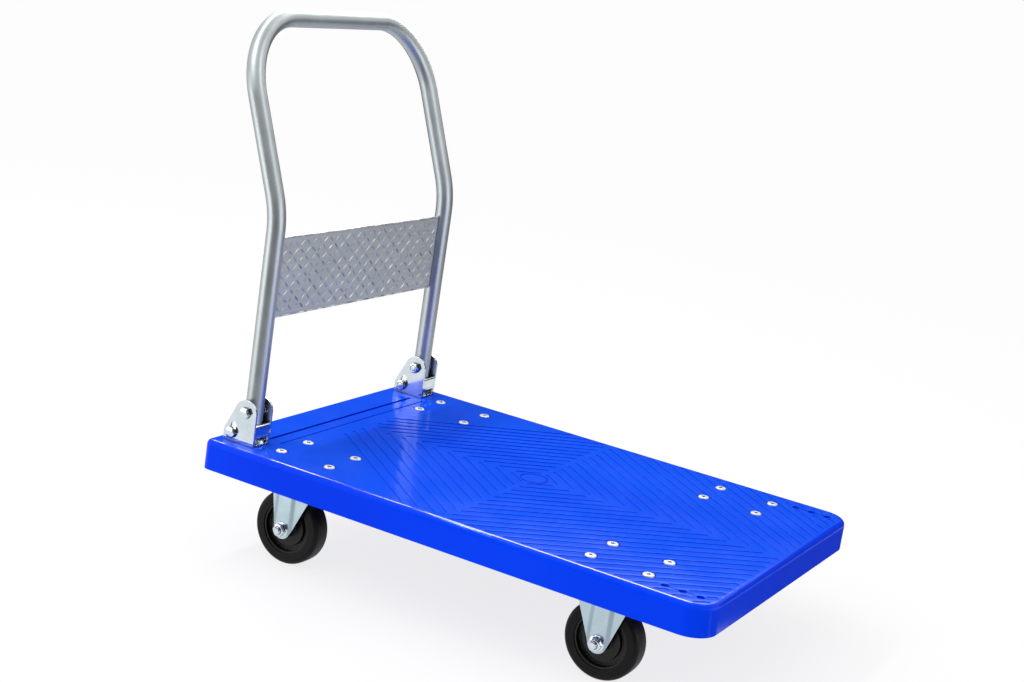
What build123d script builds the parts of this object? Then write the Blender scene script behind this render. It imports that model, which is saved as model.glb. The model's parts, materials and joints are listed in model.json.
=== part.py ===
from build123d import *

import os
from math import atan2, cos, degrees, radians, sin, tan

# Folding platform trolley in millimetres: +X is the front, +Y the left side, +Z up, the floor is z = 0.

os.makedirs("parts", exist_ok=True)

# Deck, a moulded tray that is open below
deck_length = 900.0
deck_width = 600.0
deck_depth = 49.0
front_corner_radius = 42.0
rear_corner_radius = 15.0
deck_rim_radius = 9.0
deck_top_wall = 5.0
deck_side_wall = 4.5
rib_wall = 3.0
rib_pitch = 75.0
rib_inset = 6.0

# Grip grooves in the deck's top
groove_pitch_x = 31.0
groove_pitch_y = 26.0
groove_width = 6.0
groove_depth = 0.8
groove_middle_gap = 8.0
groove_rim_gap = 6.0
first_groove = 1.5
last_rear_groove = 14
shortest_groove = 12.0
plain_strip = 124.0
ring_radius = 22.5
ring_width = 2.5
ring_depth = 1.0
deep_line_setback = 65.0
deep_line_width = 6.0
deep_line_depth = 2.5
faint_line_setback = 91.0
faint_line_width = 4.0
faint_line_depth = 1.0
line_end_gap = 15.0

# Lashing holes in the front corners
lash_hole_radius = 6.5
lash_pitch = 28.0
lash_front_inset = 31.0
lash_side_inset = 38.0
lash_land = 11.0
lash_line_width = 2.5
lash_line_depth = 1.0

# Handle tube and tread plate
tube_radius = 15.0
tube_wall = 2.0
handle_side_inset = 48.0
pivot_setback = 58.0
pivot_height = 54.0
tail_height = 23.0
kink_height = 380.0
kink_radius = 180.0
handle_lean = 20.5
top_bar_height = 672.0
top_corner_radius = 125.0
tread_plate_bottom = 207.0
tread_plate_top = 340.0
tread_plate_thickness = 2.0

# Handle brackets, folded from sheet
bracket_sheet = 3.0
bracket_side_gap = 4.0
ear_radius = 21.0
bracket_rear_reach = 39.5
ear_foot_height = 20.0
stop_wall_height = 35.5
stop_gap = 0.5
window_height = 11.0
window_edge = 3.0
bracket_bolt_ahead = 5.0
bracket_bolt_behind = 29.0
bracket_bolt_radius = 3.0
bracket_bolt_head_radius = 6.5
bracket_bolt_head_height = 4.0
bracket_washer_radius = 7.0
bracket_washer_thickness = 1.5
bracket_nut_flats = 10.0
bracket_nut_height = 5.0
bracket_boss_radius = 9.0
bracket_boss_depth = 22.0
bracket_nut_space = 13.0

# Pivot and lock bolts
pivot_radius = 5.0
pivot_head_flats = 17.0
pivot_head_height = 6.4
pivot_nut_height = 8.0
spacer_radius = 10.0
spacer_play = 0.3
lock_radius = 5.0
lock_head_flats = 17.0
lock_head_height = 6.4
lock_nut_height = 8.0
lock_gap = 0.8
lock_height = 16.0
lock_travel = 13.3
lock_tilt = 11.7
lock_slot_play = 0.3
lock_side_play = 0.2

# Casters
wheel_radius = 62.5
tyre_width = 36.0
tyre_thickness = 18.5
tyre_crown = 1.0
tyre_shoulder = 8.0
rear_caster_setback = 162.0
front_axle_setback = 188.0
caster_side_inset = 93.0
swivel_trail = 34.0
rear_plate_length = 118.0
front_plate_length = 136.0
front_plate_ahead = 10.0
front_bolts_ahead = 18.0
plate_width = 98.0
plate_corner = 8.0
plate_thickness = 3.0
plate_to_deck_top = 37.0
bolt_spacing_x = 95.0
bolt_spacing_y = 73.0
caster_bolt_radius = 4.0
caster_bolt_head_radius = 9.5
caster_bolt_head_height = 3.2
caster_nut_flats = 13.0
caster_nut_height = 6.5
caster_boss_radius = 10.0
caster_pad_margin = 7.0
seat_radius = 11.0
seat_depth = 2.2

# Caster forks, pressed from sheet
fork_sheet = 3.0
fork_panel_inner = 26.0
fork_panel_step = 1.2
fork_panel_half_width = 17.0
fork_foot_radius = 16.0
fork_joggle = 3.0
rigid_top_rear = 57.0
rigid_top_front = 50.0
swivel_top_rear = 64.0
swivel_top_front = 20.0
hull_strip = 1.0

# Swivel bearing
tyre_headroom = 2.5
kingpin_radius = 6.0
kingpin_head_radius = 12.0
kingpin_head_height = 5.0
kingpin_head_space = 4.0
kingpin_nut_flats = 18.0
kingpin_nut_height = 6.0
cup_radius = 20.5
cup_thickness = 4.0
crown_radius = 36.0
crown_thickness = 4.0
race_radius_in = 17.0
race_radius_out = 33.0
race_height = 5.5
race_gap = 4.0
ball_radius = 3.0
upper_ball_circle = 25.0
upper_ball_count = 18
lower_ball_circle = 15.5
lower_ball_count = 12

# Wheel hub, bush and axle
rim_half_width = 16.0
rim_wall = 3.0
hub_slope = 1.5
web_half_width = 7.0
web_depth = 7.0
disc_half_width = 13.0
boss_half_width = 24.0
boss_wall = 4.5
bush_wall = 2.45
sleeve_radius = 8.0
axle_radius = 6.0
axle_head_flats = 19.0
axle_head_height = 7.5
axle_nut_flats = 19.0
axle_nut_height = 10.0
axle_nut_flange_radius = 13.0
axle_nut_flange = 2.0

# Clearances, roundings and the shape of the fasteners
running_clearance = 0.05
hole_clearance = 0.3
bolt_end = 1.0
axle_end = 5.0
bolt_chamfer = 0.8
head_rounding = 2.0
recess_length = 8.0
recess_width = 2.4
recess_depth = 1.5

# Heights from the floor up
axle_height = wheel_radius
kingpin_nut_bottom = 2 * wheel_radius + tyre_headroom
cup_bottom = kingpin_nut_bottom + kingpin_nut_height
cup_top = cup_bottom + cup_thickness
crown_bottom = cup_top + race_gap
crown_top = crown_bottom + crown_thickness
race_bottom = crown_top + race_gap
plate_bottom = race_bottom + race_height
plate_top = plate_bottom + plate_thickness
deck_top = plate_top + plate_to_deck_top
deck_bottom = deck_top - deck_depth
deck_ceiling = deck_top - deck_top_wall
rib_bottom = deck_bottom + rib_inset

# Places along and across, with x counted from the middle of the deck
pivot_x = pivot_setback - deck_length / 2
top_bar_x = pivot_x - (top_bar_height - kink_height) * tan(radians(handle_lean))
handle_y = deck_width / 2 - handle_side_inset
rear_caster_x = rear_caster_setback - deck_length / 2
front_axle_x = deck_length / 2 - front_axle_setback
front_plate_x = front_axle_x + front_plate_ahead
front_bolts_x = front_axle_x + front_bolts_ahead
caster_y = deck_width / 2 - caster_side_inset
rear_axle_x = rear_caster_x - swivel_trail
bracket_half_width = tube_radius + bracket_side_gap + bracket_sheet

# The frame's origin lies below the middle of the overall box, so the deck stands ahead of it
rearmost = min(top_bar_x - tube_radius, -deck_length / 2)
deck_mid_x = -(deck_length / 2 + rearmost) / 2

sides = [("left", 1), ("right", -1)]


def level(height, x=0.0, y=0.0):
    return Plane((deck_mid_x + x, y, height))


def upright(y, x=0.0, height=0.0):
    return Plane((deck_mid_x + x, y, height), x_dir=(1, 0, 0), z_dir=(0, -1, 0))


def facing(direction, x, y, height):
    return Plane((deck_mid_x + x, y, height), x_dir=(1, 0, 0), z_dir=(0, direction, 0))


def lengthways(x, y, height):
    return Plane((deck_mid_x + x, y, height), x_dir=(0, 1, 0), z_dir=(1, 0, 0))


def upright_axis(x, y):
    return Axis((deck_mid_x + x, y, 0), (0, 0, 1))


def axle_axis(x, height):
    return Axis((deck_mid_x + x, 0, height), (0, 1, 0))


# Round-headed bolt along its own z, the head's seat at zero
def round_bolt(head_radius, head_height, shank_radius, shank_length):
    with BuildPart() as bolt:
        with BuildSketch():
            Circle(head_radius)
        extrude(amount=head_height)
        fillet(bolt.edges().group_by(Axis.Z)[-1], head_rounding)
        with BuildSketch(Plane.XY.offset(head_height)):
            Rectangle(recess_length, recess_width)
            Rectangle(recess_width, recess_length)
        extrude(amount=-recess_depth, mode=Mode.SUBTRACT)
        with BuildSketch():
            Circle(shank_radius)
        extrude(amount=-shank_length)
        chamfer(bolt.edges().group_by(Axis.Z)[0], bolt_chamfer)
    return bolt.part


# Hexagon bolt along its own z, the head's seat at zero
def hex_bolt(flats, head_height, shank_radius, shank_length):
    with BuildPart() as bolt:
        with BuildSketch():
            RegularPolygon(flats / 2, 6, major_radius=False)
        extrude(amount=head_height)
        with BuildSketch():
            Circle(shank_radius)
        extrude(amount=-shank_length)
        chamfer(bolt.edges().group_by(Axis.Z)[0], bolt_chamfer)
    return bolt.part


# Hexagon nut along its own z, its seat at zero
def hex_nut(flats, height, bore_radius):
    with BuildPart() as nut:
        with BuildSketch():
            RegularPolygon(flats / 2, 6, major_radius=False)
            Circle(bore_radius, mode=Mode.SUBTRACT)
        extrude(amount=height)
    return nut.part


# Grip grooves of one quarter of the deck, as middle point, length and direction
def quarter_grooves(x_sign, y_sign):
    field_y = deck_width / 2 - deck_rim_radius - groove_rim_gap
    if x_sign > 0:
        field_x = deck_length / 2 - deck_rim_radius - groove_rim_gap
        last_groove = field_x / groove_pitch_x + field_y / groove_pitch_y
    else:
        field_x = deck_length / 2 - plain_strip
        last_groove = last_rear_groove
    slope = groove_pitch_y / groove_pitch_x
    grooves = []
    step = first_groove
    while step < last_groove:
        x_start = max(groove_middle_gap, (step * groove_pitch_y - field_y) / slope)
        x_end = min(field_x, step * groove_pitch_x - groove_middle_gap / slope)
        start = Vector(x_sign * x_start, y_sign * (step * groove_pitch_y - x_start * slope))
        end = Vector(x_sign * x_end, y_sign * (step * groove_pitch_y - x_end * slope))
        if x_end > x_start and (end - start).length > shortest_groove:
            grooves.append(((start + end) / 2, end - start))
        step += 1
    return grooves


# Outline of the deck seen from above, drawn in by an inset
def deck_outline(inset):
    with BuildSketch(level(deck_bottom)) as outline:
        Rectangle(deck_length - 2 * inset, deck_width - 2 * inset)
        fillet(outline.vertices().group_by(Axis.X)[0], rear_corner_radius - inset)
        fillet(outline.vertices().group_by(Axis.X)[-1], front_corner_radius - inset)
    return outline.sketch


# Bolt places seen from above
caster_bolt_places = [
    (x + dx * bolt_spacing_x / 2, s * caster_y + dy * bolt_spacing_y / 2)
    for x in (rear_caster_x, front_bolts_x)
    for _, s in sides
    for dx in (-1, 1)
    for dy in (-1, 1)
]
rear_plate_places = [(rear_caster_x, s * caster_y) for _, s in sides]
front_plate_places = [(front_plate_x, s * caster_y) for _, s in sides]
bracket_bolt_places = [
    (pivot_x + dx, s * handle_y)
    for dx in (bracket_bolt_ahead, -bracket_bolt_behind)
    for _, s in sides
]
lash_first_x = deck_length / 2 - lash_front_inset
lash_middle_x = lash_first_x - lash_pitch
lash_y = deck_width / 2 - lash_side_inset
lash_places = [(lash_first_x - n * lash_pitch, s * lash_y) for n in range(3) for _, s in sides]
lash_rows = [(lash_middle_x, s * lash_y) for _, s in sides]

# Deck
inner_length = deck_length - 2 * deck_side_wall
inner_width = deck_width - 2 * deck_side_wall
ribs_along = 2 * int((inner_length / 2 - rib_wall) / rib_pitch) + 1
ribs_across = 2 * int((inner_width / 2 - rib_wall) / rib_pitch) + 1
deep_line_x = deep_line_setback - deck_length / 2
faint_line_x = faint_line_setback - deck_length / 2
line_length = 2 * (handle_y - bracket_half_width - line_end_gap)
boss_bottom = deck_top - bracket_boss_depth
pad_width = plate_width + 2 * caster_pad_margin

with BuildPart() as deck:
    add(deck_outline(0))
    extrude(amount=deck_depth)
    fillet(deck.edges().group_by(Axis.Z)[-1], deck_rim_radius)
    add(deck_outline(deck_side_wall))
    extrude(amount=deck_depth - deck_top_wall, mode=Mode.SUBTRACT)
    # Ribs on a square grid
    with BuildSketch(level(rib_bottom)):
        with GridLocations(rib_pitch, rib_pitch, ribs_along, 1):
            Rectangle(rib_wall, inner_width)
        with GridLocations(rib_pitch, rib_pitch, 1, ribs_across):
            Rectangle(inner_length, rib_wall)
    extrude(amount=deck_ceiling - rib_bottom)
    # Room for the caster plates, the kingpin heads and the bracket nuts
    with BuildSketch(level(deck_bottom)):
        with Locations(*rear_plate_places):
            Rectangle(rear_plate_length + 2 * caster_pad_margin, pad_width)
        with Locations(*front_plate_places):
            Rectangle(front_plate_length + 2 * caster_pad_margin, pad_width)
    extrude(amount=plate_top - deck_bottom, mode=Mode.SUBTRACT)
    with BuildSketch(level(plate_top)):
        with Locations(*rear_plate_places):
            Circle(kingpin_head_radius + kingpin_head_space)
    extrude(amount=kingpin_head_height + kingpin_head_space, mode=Mode.SUBTRACT)
    with BuildSketch(level(deck_bottom)):
        with Locations(*bracket_bolt_places):
            Circle(bracket_nut_space)
    extrude(amount=boss_bottom - deck_bottom, mode=Mode.SUBTRACT)
    # Bosses
    with BuildSketch(level(plate_top)):
        with Locations(*caster_bolt_places):
            Circle(caster_boss_radius)
    extrude(amount=deck_ceiling - plate_top)
    with BuildSketch(level(boss_bottom)):
        with Locations(*bracket_bolt_places):
            Circle(bracket_boss_radius)
    extrude(amount=deck_ceiling - boss_bottom)
    # Bolt holes and bolt seats
    with BuildSketch(level(deck_top)):
        with Locations(*caster_bolt_places):
            Circle(seat_radius)
    extrude(amount=-seat_depth, mode=Mode.SUBTRACT)
    with BuildSketch(level(deck_top)):
        with Locations(*caster_bolt_places):
            Circle(caster_bolt_radius + hole_clearance)
    extrude(amount=plate_top - deck_top, mode=Mode.SUBTRACT)
    with BuildSketch(level(deck_top)):
        with Locations(*bracket_bolt_places):
            Circle(bracket_bolt_radius + hole_clearance)
    extrude(amount=-bracket_boss_depth, mode=Mode.SUBTRACT)
    # Ring in the middle and the two lines across the rear
    with BuildSketch(level(deck_top)):
        Circle(ring_radius + ring_width / 2)
        Circle(ring_radius - ring_width / 2, mode=Mode.SUBTRACT)
    extrude(amount=-ring_depth, mode=Mode.SUBTRACT)
    with BuildSketch(level(deck_top)):
        with Locations((deep_line_x, 0)):
            Rectangle(deep_line_width, line_length)
    extrude(amount=-deep_line_depth, mode=Mode.SUBTRACT)
    with BuildSketch(level(deck_top)):
        with Locations((faint_line_x, 0)):
            Rectangle(faint_line_width, line_length)
    extrude(amount=-faint_line_depth, mode=Mode.SUBTRACT)
    # Lashing holes and the thin line that joins each three
    with BuildSketch(level(deck_top)):
        with Locations(*lash_rows):
            Rectangle(2 * lash_pitch, lash_line_width)
    extrude(amount=-lash_line_depth, mode=Mode.SUBTRACT)
    with BuildSketch(level(deck_top)):
        with Locations(*lash_places):
            Circle(lash_hole_radius)
    extrude(amount=-deck_top_wall, mode=Mode.SUBTRACT)
    # Grip grooves in four quarters, kept clear of the lashing holes
    with BuildSketch(level(deck_top)):
        for x_sign in (1, -1):
            for _, y_sign in sides:
                for middle, run in quarter_grooves(x_sign, y_sign):
                    with Locations((middle.X, middle.Y)):
                        SlotCenterToCenter(run.length, groove_width, rotation=degrees(atan2(run.Y, run.X)))
        with Locations(*lash_rows):
            SlotCenterToCenter(2 * lash_pitch, 2 * lash_land, mode=Mode.SUBTRACT)
    extrude(amount=-groove_depth, mode=Mode.SUBTRACT)
deck.part.label = "deck"
export_step(deck.part, "parts/deck.step")

# Handle tube, one bent loop with a cross hole for the pivot bolts
tube_tail = deck_top + tail_height
tube_kink = deck_top + kink_height
tube_top = deck_top + top_bar_height
pivot_z = deck_top + pivot_height
leg_x = deck_mid_x + pivot_x
bar_x = deck_mid_x + top_bar_x

with BuildPart() as handle_tube:
    with BuildLine():
        FilletPolyline(
            (leg_x, handle_y, tube_tail),
            (leg_x, handle_y, tube_kink),
            (bar_x, handle_y, tube_top),
            (bar_x, -handle_y, tube_top),
            (leg_x, -handle_y, tube_kink),
            (leg_x, -handle_y, tube_tail),
            radius=[kink_radius, top_corner_radius, top_corner_radius, kink_radius],
        )
    with BuildSketch(level(tube_tail, pivot_x, handle_y)):
        Circle(tube_radius)
        Circle(tube_radius - tube_wall, mode=Mode.SUBTRACT)
    sweep()
    with BuildSketch(upright(0, pivot_x, pivot_z)):
        Circle(pivot_radius + running_clearance)
    extrude(amount=handle_y + tube_radius, both=True, mode=Mode.SUBTRACT)
handle_tube.part.label = "handle_tube"
export_step(handle_tube.part, "parts/handle_tube.step")

# Tread plate between the legs
tread_plate_height = tread_plate_top - tread_plate_bottom
with BuildPart() as tread_plate:
    with BuildSketch(lengthways(pivot_x, 0, deck_top + tread_plate_bottom + tread_plate_height / 2)):
        Rectangle(2 * (handle_y - tube_radius), tread_plate_height)
    extrude(amount=tread_plate_thickness / 2, both=True)
tread_plate.part.label = "tread_plate"
export_step(tread_plate.part, "parts/tread_plate.step")

# Handle brackets with their pivot and lock bolts
bracket_front = pivot_x + ear_radius
bracket_rear = pivot_x - bracket_rear_reach
bracket_length = bracket_front - bracket_rear
bracket_middle_x = (bracket_front + bracket_rear) / 2
lip_reach = ear_radius - tube_radius - stop_gap
lock_back = tube_radius + lock_gap + lock_radius + lock_travel * sin(radians(lock_tilt))
lock_x = pivot_x - lock_back
lock_z = deck_top + lock_height
slot_middle_x = lock_x + lock_travel / 2 * sin(radians(lock_tilt))
slot_middle_z = lock_z + lock_travel / 2 * cos(radians(lock_tilt))
pivot_shank = 2 * bracket_half_width + pivot_nut_height + bolt_end
lock_shank = 2 * (bracket_half_width + lock_side_play) + lock_nut_height + bolt_end
spacer_thickness = bracket_side_gap - spacer_play

for side_name, side in sides:
    middle_y = side * handle_y
    outer_y = middle_y + side * bracket_half_width
    inner_y = middle_y - side * bracket_half_width
    left_y = middle_y + bracket_half_width

    with BuildPart() as bracket:
        with BuildSketch(level(deck_top, bracket_middle_x, middle_y)):
            Rectangle(bracket_length, 2 * bracket_half_width)
        extrude(amount=bracket_sheet)
        for ear_y in (left_y, left_y - 2 * bracket_half_width + bracket_sheet):
            with BuildSketch(upright(ear_y, 0, deck_top)):
                with Locations((pivot_x, pivot_height)):
                    Circle(ear_radius)
                with Locations((bracket_middle_x, ear_foot_height / 2)):
                    Rectangle(bracket_length, ear_foot_height)
                make_hull()
            extrude(amount=bracket_sheet)
        # Front wall with its folded lip, the stop that the handle leans on
        with BuildSketch(upright(left_y, bracket_front, deck_top)):
            with Locations((-bracket_sheet / 2, stop_wall_height / 2)):
                Rectangle(bracket_sheet, stop_wall_height)
            with Locations((-lip_reach / 2, stop_wall_height - bracket_sheet / 2)):
                Rectangle(lip_reach, bracket_sheet)
        extrude(amount=2 * bracket_half_width)
        with BuildSketch(lengthways(bracket_front, middle_y, deck_top + bracket_sheet + window_height / 2)):
            Rectangle(2 * (bracket_half_width - bracket_sheet - window_edge), window_height)
        extrude(amount=-bracket_sheet, mode=Mode.SUBTRACT)
        # Pivot holes, lock slots and base holes
        with BuildSketch(upright(left_y, pivot_x, pivot_z)):
            Circle(pivot_radius + hole_clearance)
        extrude(amount=2 * bracket_half_width, mode=Mode.SUBTRACT)
        with BuildSketch(upright(left_y, slot_middle_x, slot_middle_z)):
            SlotCenterToCenter(lock_travel, 2 * (lock_radius + lock_slot_play), rotation=90 - lock_tilt)
        extrude(amount=2 * bracket_half_width, mode=Mode.SUBTRACT)
        with BuildSketch(level(deck_top)):
            with Locations(*[place for place in bracket_bolt_places if place[1] * side > 0]):
                Circle(bracket_bolt_radius + hole_clearance)
        extrude(amount=bracket_sheet, mode=Mode.SUBTRACT)
    bracket.part.label = f"handle_bracket_{side_name}"
    export_step(bracket.part, f"parts/handle_bracket_{side_name}.step")

    with BuildPart() as pivot_bolt:
        with Locations(facing(side, pivot_x, outer_y, pivot_z)):
            add(hex_bolt(pivot_head_flats, pivot_head_height, pivot_radius, pivot_shank))
    pivot_bolt.part.label = f"pivot_bolt_{side_name}"
    export_step(pivot_bolt.part, f"parts/pivot_bolt_{side_name}.step")

    with BuildPart() as pivot_nut:
        with Locations(facing(-side, pivot_x, inner_y, pivot_z)):
            add(hex_nut(pivot_head_flats, pivot_nut_height, pivot_radius + running_clearance))
    pivot_nut.part.label = f"pivot_nut_{side_name}"
    export_step(pivot_nut.part, f"parts/pivot_nut_{side_name}.step")

    with BuildPart() as pivot_spacers:
        for direction in (1, -1):
            ear_face_y = middle_y + direction * (bracket_half_width - bracket_sheet)
            with BuildSketch(facing(-direction, pivot_x, ear_face_y, pivot_z)):
                Circle(spacer_radius)
                Circle(pivot_radius + running_clearance, mode=Mode.SUBTRACT)
            extrude(amount=spacer_thickness)
    pivot_spacers.part.label = f"pivot_spacers_{side_name}"
    export_step(pivot_spacers.part, f"parts/pivot_spacers_{side_name}.step")

    with BuildPart() as lock_bolt:
        with Locations(facing(side, lock_x, outer_y + side * lock_side_play, lock_z)):
            add(hex_bolt(lock_head_flats, lock_head_height, lock_radius, lock_shank))
    lock_bolt.part.label = f"lock_bolt_{side_name}"
    export_step(lock_bolt.part, f"parts/lock_bolt_{side_name}.step")

    with BuildPart() as lock_nut:
        with Locations(facing(-side, lock_x, inner_y - side * lock_side_play, lock_z)):
            add(hex_nut(lock_head_flats, lock_nut_height, lock_radius + running_clearance))
    lock_nut.part.label = f"lock_nut_{side_name}"
    export_step(lock_nut.part, f"parts/lock_nut_{side_name}.step")

# Bolts, washers and nuts that hold the brackets on the deck
bracket_washer_bottom = boss_bottom - bracket_washer_thickness
bracket_nut_bottom = bracket_washer_bottom - bracket_nut_height
bracket_bolt_seat = deck_top + bracket_sheet
bracket_shank = bracket_bolt_seat - bracket_nut_bottom + bolt_end

with BuildPart() as bracket_bolts:
    with Locations(level(bracket_bolt_seat)):
        with Locations(*bracket_bolt_places):
            add(
                round_bolt(
                    bracket_bolt_head_radius, bracket_bolt_head_height, bracket_bolt_radius, bracket_shank
                )
            )
bracket_bolts.part.label = "bracket_bolts"
export_step(bracket_bolts.part, "parts/bracket_bolts.step")

with BuildPart() as bracket_washers:
    with BuildSketch(level(bracket_washer_bottom)):
        with Locations(*bracket_bolt_places):
            Circle(bracket_washer_radius)
            Circle(bracket_bolt_radius + running_clearance, mode=Mode.SUBTRACT)
    extrude(amount=bracket_washer_thickness)
bracket_washers.part.label = "bracket_washers"
export_step(bracket_washers.part, "parts/bracket_washers.step")

with BuildPart() as bracket_nuts:
    with Locations(level(bracket_nut_bottom)):
        with Locations(*bracket_bolt_places):
            add(hex_nut(bracket_nut_flats, bracket_nut_height, bracket_bolt_radius + running_clearance))
bracket_nuts.part.label = "bracket_nuts"
export_step(bracket_nuts.part, "parts/bracket_nuts.step")

# Bolts and nuts that hold the casters under the deck
caster_nut_bottom = plate_bottom - caster_nut_height
caster_bolt_seat = deck_top - seat_depth
caster_shank = caster_bolt_seat - caster_nut_bottom + bolt_end

with BuildPart() as caster_bolts:
    with Locations(level(caster_bolt_seat)):
        with Locations(*caster_bolt_places):
            add(
                round_bolt(
                    caster_bolt_head_radius, caster_bolt_head_height, caster_bolt_radius, caster_shank
                )
            )
caster_bolts.part.label = "caster_bolts"
export_step(caster_bolts.part, "parts/caster_bolts.step")

with BuildPart() as caster_nuts:
    with Locations(level(caster_nut_bottom)):
        with Locations(*caster_bolt_places):
            add(hex_nut(caster_nut_flats, caster_nut_height, caster_bolt_radius + running_clearance))
caster_nuts.part.label = "caster_nuts"
export_step(caster_nuts.part, "parts/caster_nuts.step")

# Caster plates and forks
flange_inner = fork_panel_inner - fork_panel_step
fork_outer = fork_panel_inner + fork_sheet
joggle_half_width = fork_panel_half_width - fork_joggle
joggle_foot_radius = fork_foot_radius - fork_joggle
axle_hole_radius = axle_radius + hole_clearance
upper_ball_z = (crown_top + race_bottom) / 2
lower_ball_z = (cup_top + crown_bottom) / 2
groove_radius = ball_radius + running_clearance


# Outline of a fork leg's pressed-out panel, which runs straight up from the axle
def panel_outline(axle_x, foot_radius, half_width, top_z):
    with BuildSketch() as outline:
        with Locations((axle_x, axle_height)):
            Circle(foot_radius)
        with Locations((axle_x, top_z - hull_strip / 2)):
            Rectangle(2 * half_width, hull_strip)
        make_hull()
    return outline.sketch


# Both legs of a fork about the middle line: a flange round the edge and a panel that stands out of it
def fork_legs(axle_x, top_rear_x, top_front_x, top_z):
    panel = panel_outline(axle_x, fork_foot_radius, fork_panel_half_width, top_z)
    panel_window = panel_outline(axle_x, joggle_foot_radius, joggle_half_width, top_z)
    with BuildPart() as legs:
        for leg in (1, -1):
            with BuildSketch(upright(leg * (flange_inner + fork_sheet / 2) + fork_sheet / 2)):
                with Locations((axle_x, axle_height)):
                    Circle(fork_foot_radius)
                with Locations(((top_rear_x + top_front_x) / 2, top_z - hull_strip / 2)):
                    Rectangle(top_front_x - top_rear_x, hull_strip)
                make_hull()
                add(panel_window, mode=Mode.SUBTRACT)
            extrude(amount=fork_sheet)
            with BuildSketch(upright(leg * (fork_panel_inner + fork_sheet / 2) + fork_sheet / 2)):
                add(panel)
            extrude(amount=fork_sheet)
        with BuildSketch(upright(0, axle_x, axle_height)):
            Circle(axle_hole_radius)
        extrude(amount=fork_outer, both=True, mode=Mode.SUBTRACT)
    return legs.part


with BuildPart() as rigid_form:
    with BuildSketch(level(plate_bottom)):
        with Locations((front_plate_x, 0)):
            RectangleRounded(front_plate_length, plate_width, plate_corner)
        with Locations((front_bolts_x, 0)):
            with GridLocations(bolt_spacing_x, bolt_spacing_y, 2, 2):
                Circle(caster_bolt_radius + hole_clearance, mode=Mode.SUBTRACT)
    extrude(amount=plate_thickness)
    top_rear_x, top_front_x = front_axle_x - rigid_top_rear, front_axle_x + rigid_top_front
    add(fork_legs(front_axle_x, top_rear_x, top_front_x, plate_bottom))

with BuildPart() as plate_form:
    with BuildSketch(level(plate_bottom, rear_caster_x)):
        RectangleRounded(rear_plate_length, plate_width, plate_corner)
        with GridLocations(bolt_spacing_x, bolt_spacing_y, 2, 2):
            Circle(caster_bolt_radius + hole_clearance, mode=Mode.SUBTRACT)
        Circle(kingpin_radius + running_clearance, mode=Mode.SUBTRACT)
    extrude(amount=plate_thickness)
    with BuildSketch(level(race_bottom, rear_caster_x)):
        Circle(race_radius_out)
        Circle(race_radius_in, mode=Mode.SUBTRACT)
    extrude(amount=race_height)
    with BuildSketch(upright(0, rear_caster_x, upper_ball_z)):
        with Locations((upper_ball_circle, 0)):
            Circle(groove_radius)
    revolve(axis=upright_axis(rear_caster_x, 0), mode=Mode.SUBTRACT)

with BuildPart() as swivel_form:
    with BuildSketch(level(crown_bottom, rear_caster_x)):
        Circle(crown_radius)
        with Locations(((swivel_top_front - swivel_top_rear) / 2, 0)):
            Rectangle(swivel_top_rear + swivel_top_front, 2 * fork_outer)
        Circle(kingpin_radius + running_clearance, mode=Mode.SUBTRACT)
    extrude(amount=crown_thickness)
    top_rear_x, top_front_x = rear_caster_x - swivel_top_rear, rear_caster_x + swivel_top_front
    add(fork_legs(rear_axle_x, top_rear_x, top_front_x, crown_bottom))
    # Ball tracks above and below the crown
    with BuildSketch(upright(0, rear_caster_x)):
        with Locations((upper_ball_circle, upper_ball_z), (lower_ball_circle, lower_ball_z)):
            Circle(groove_radius)
    revolve(axis=upright_axis(rear_caster_x, 0), mode=Mode.SUBTRACT)

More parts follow.
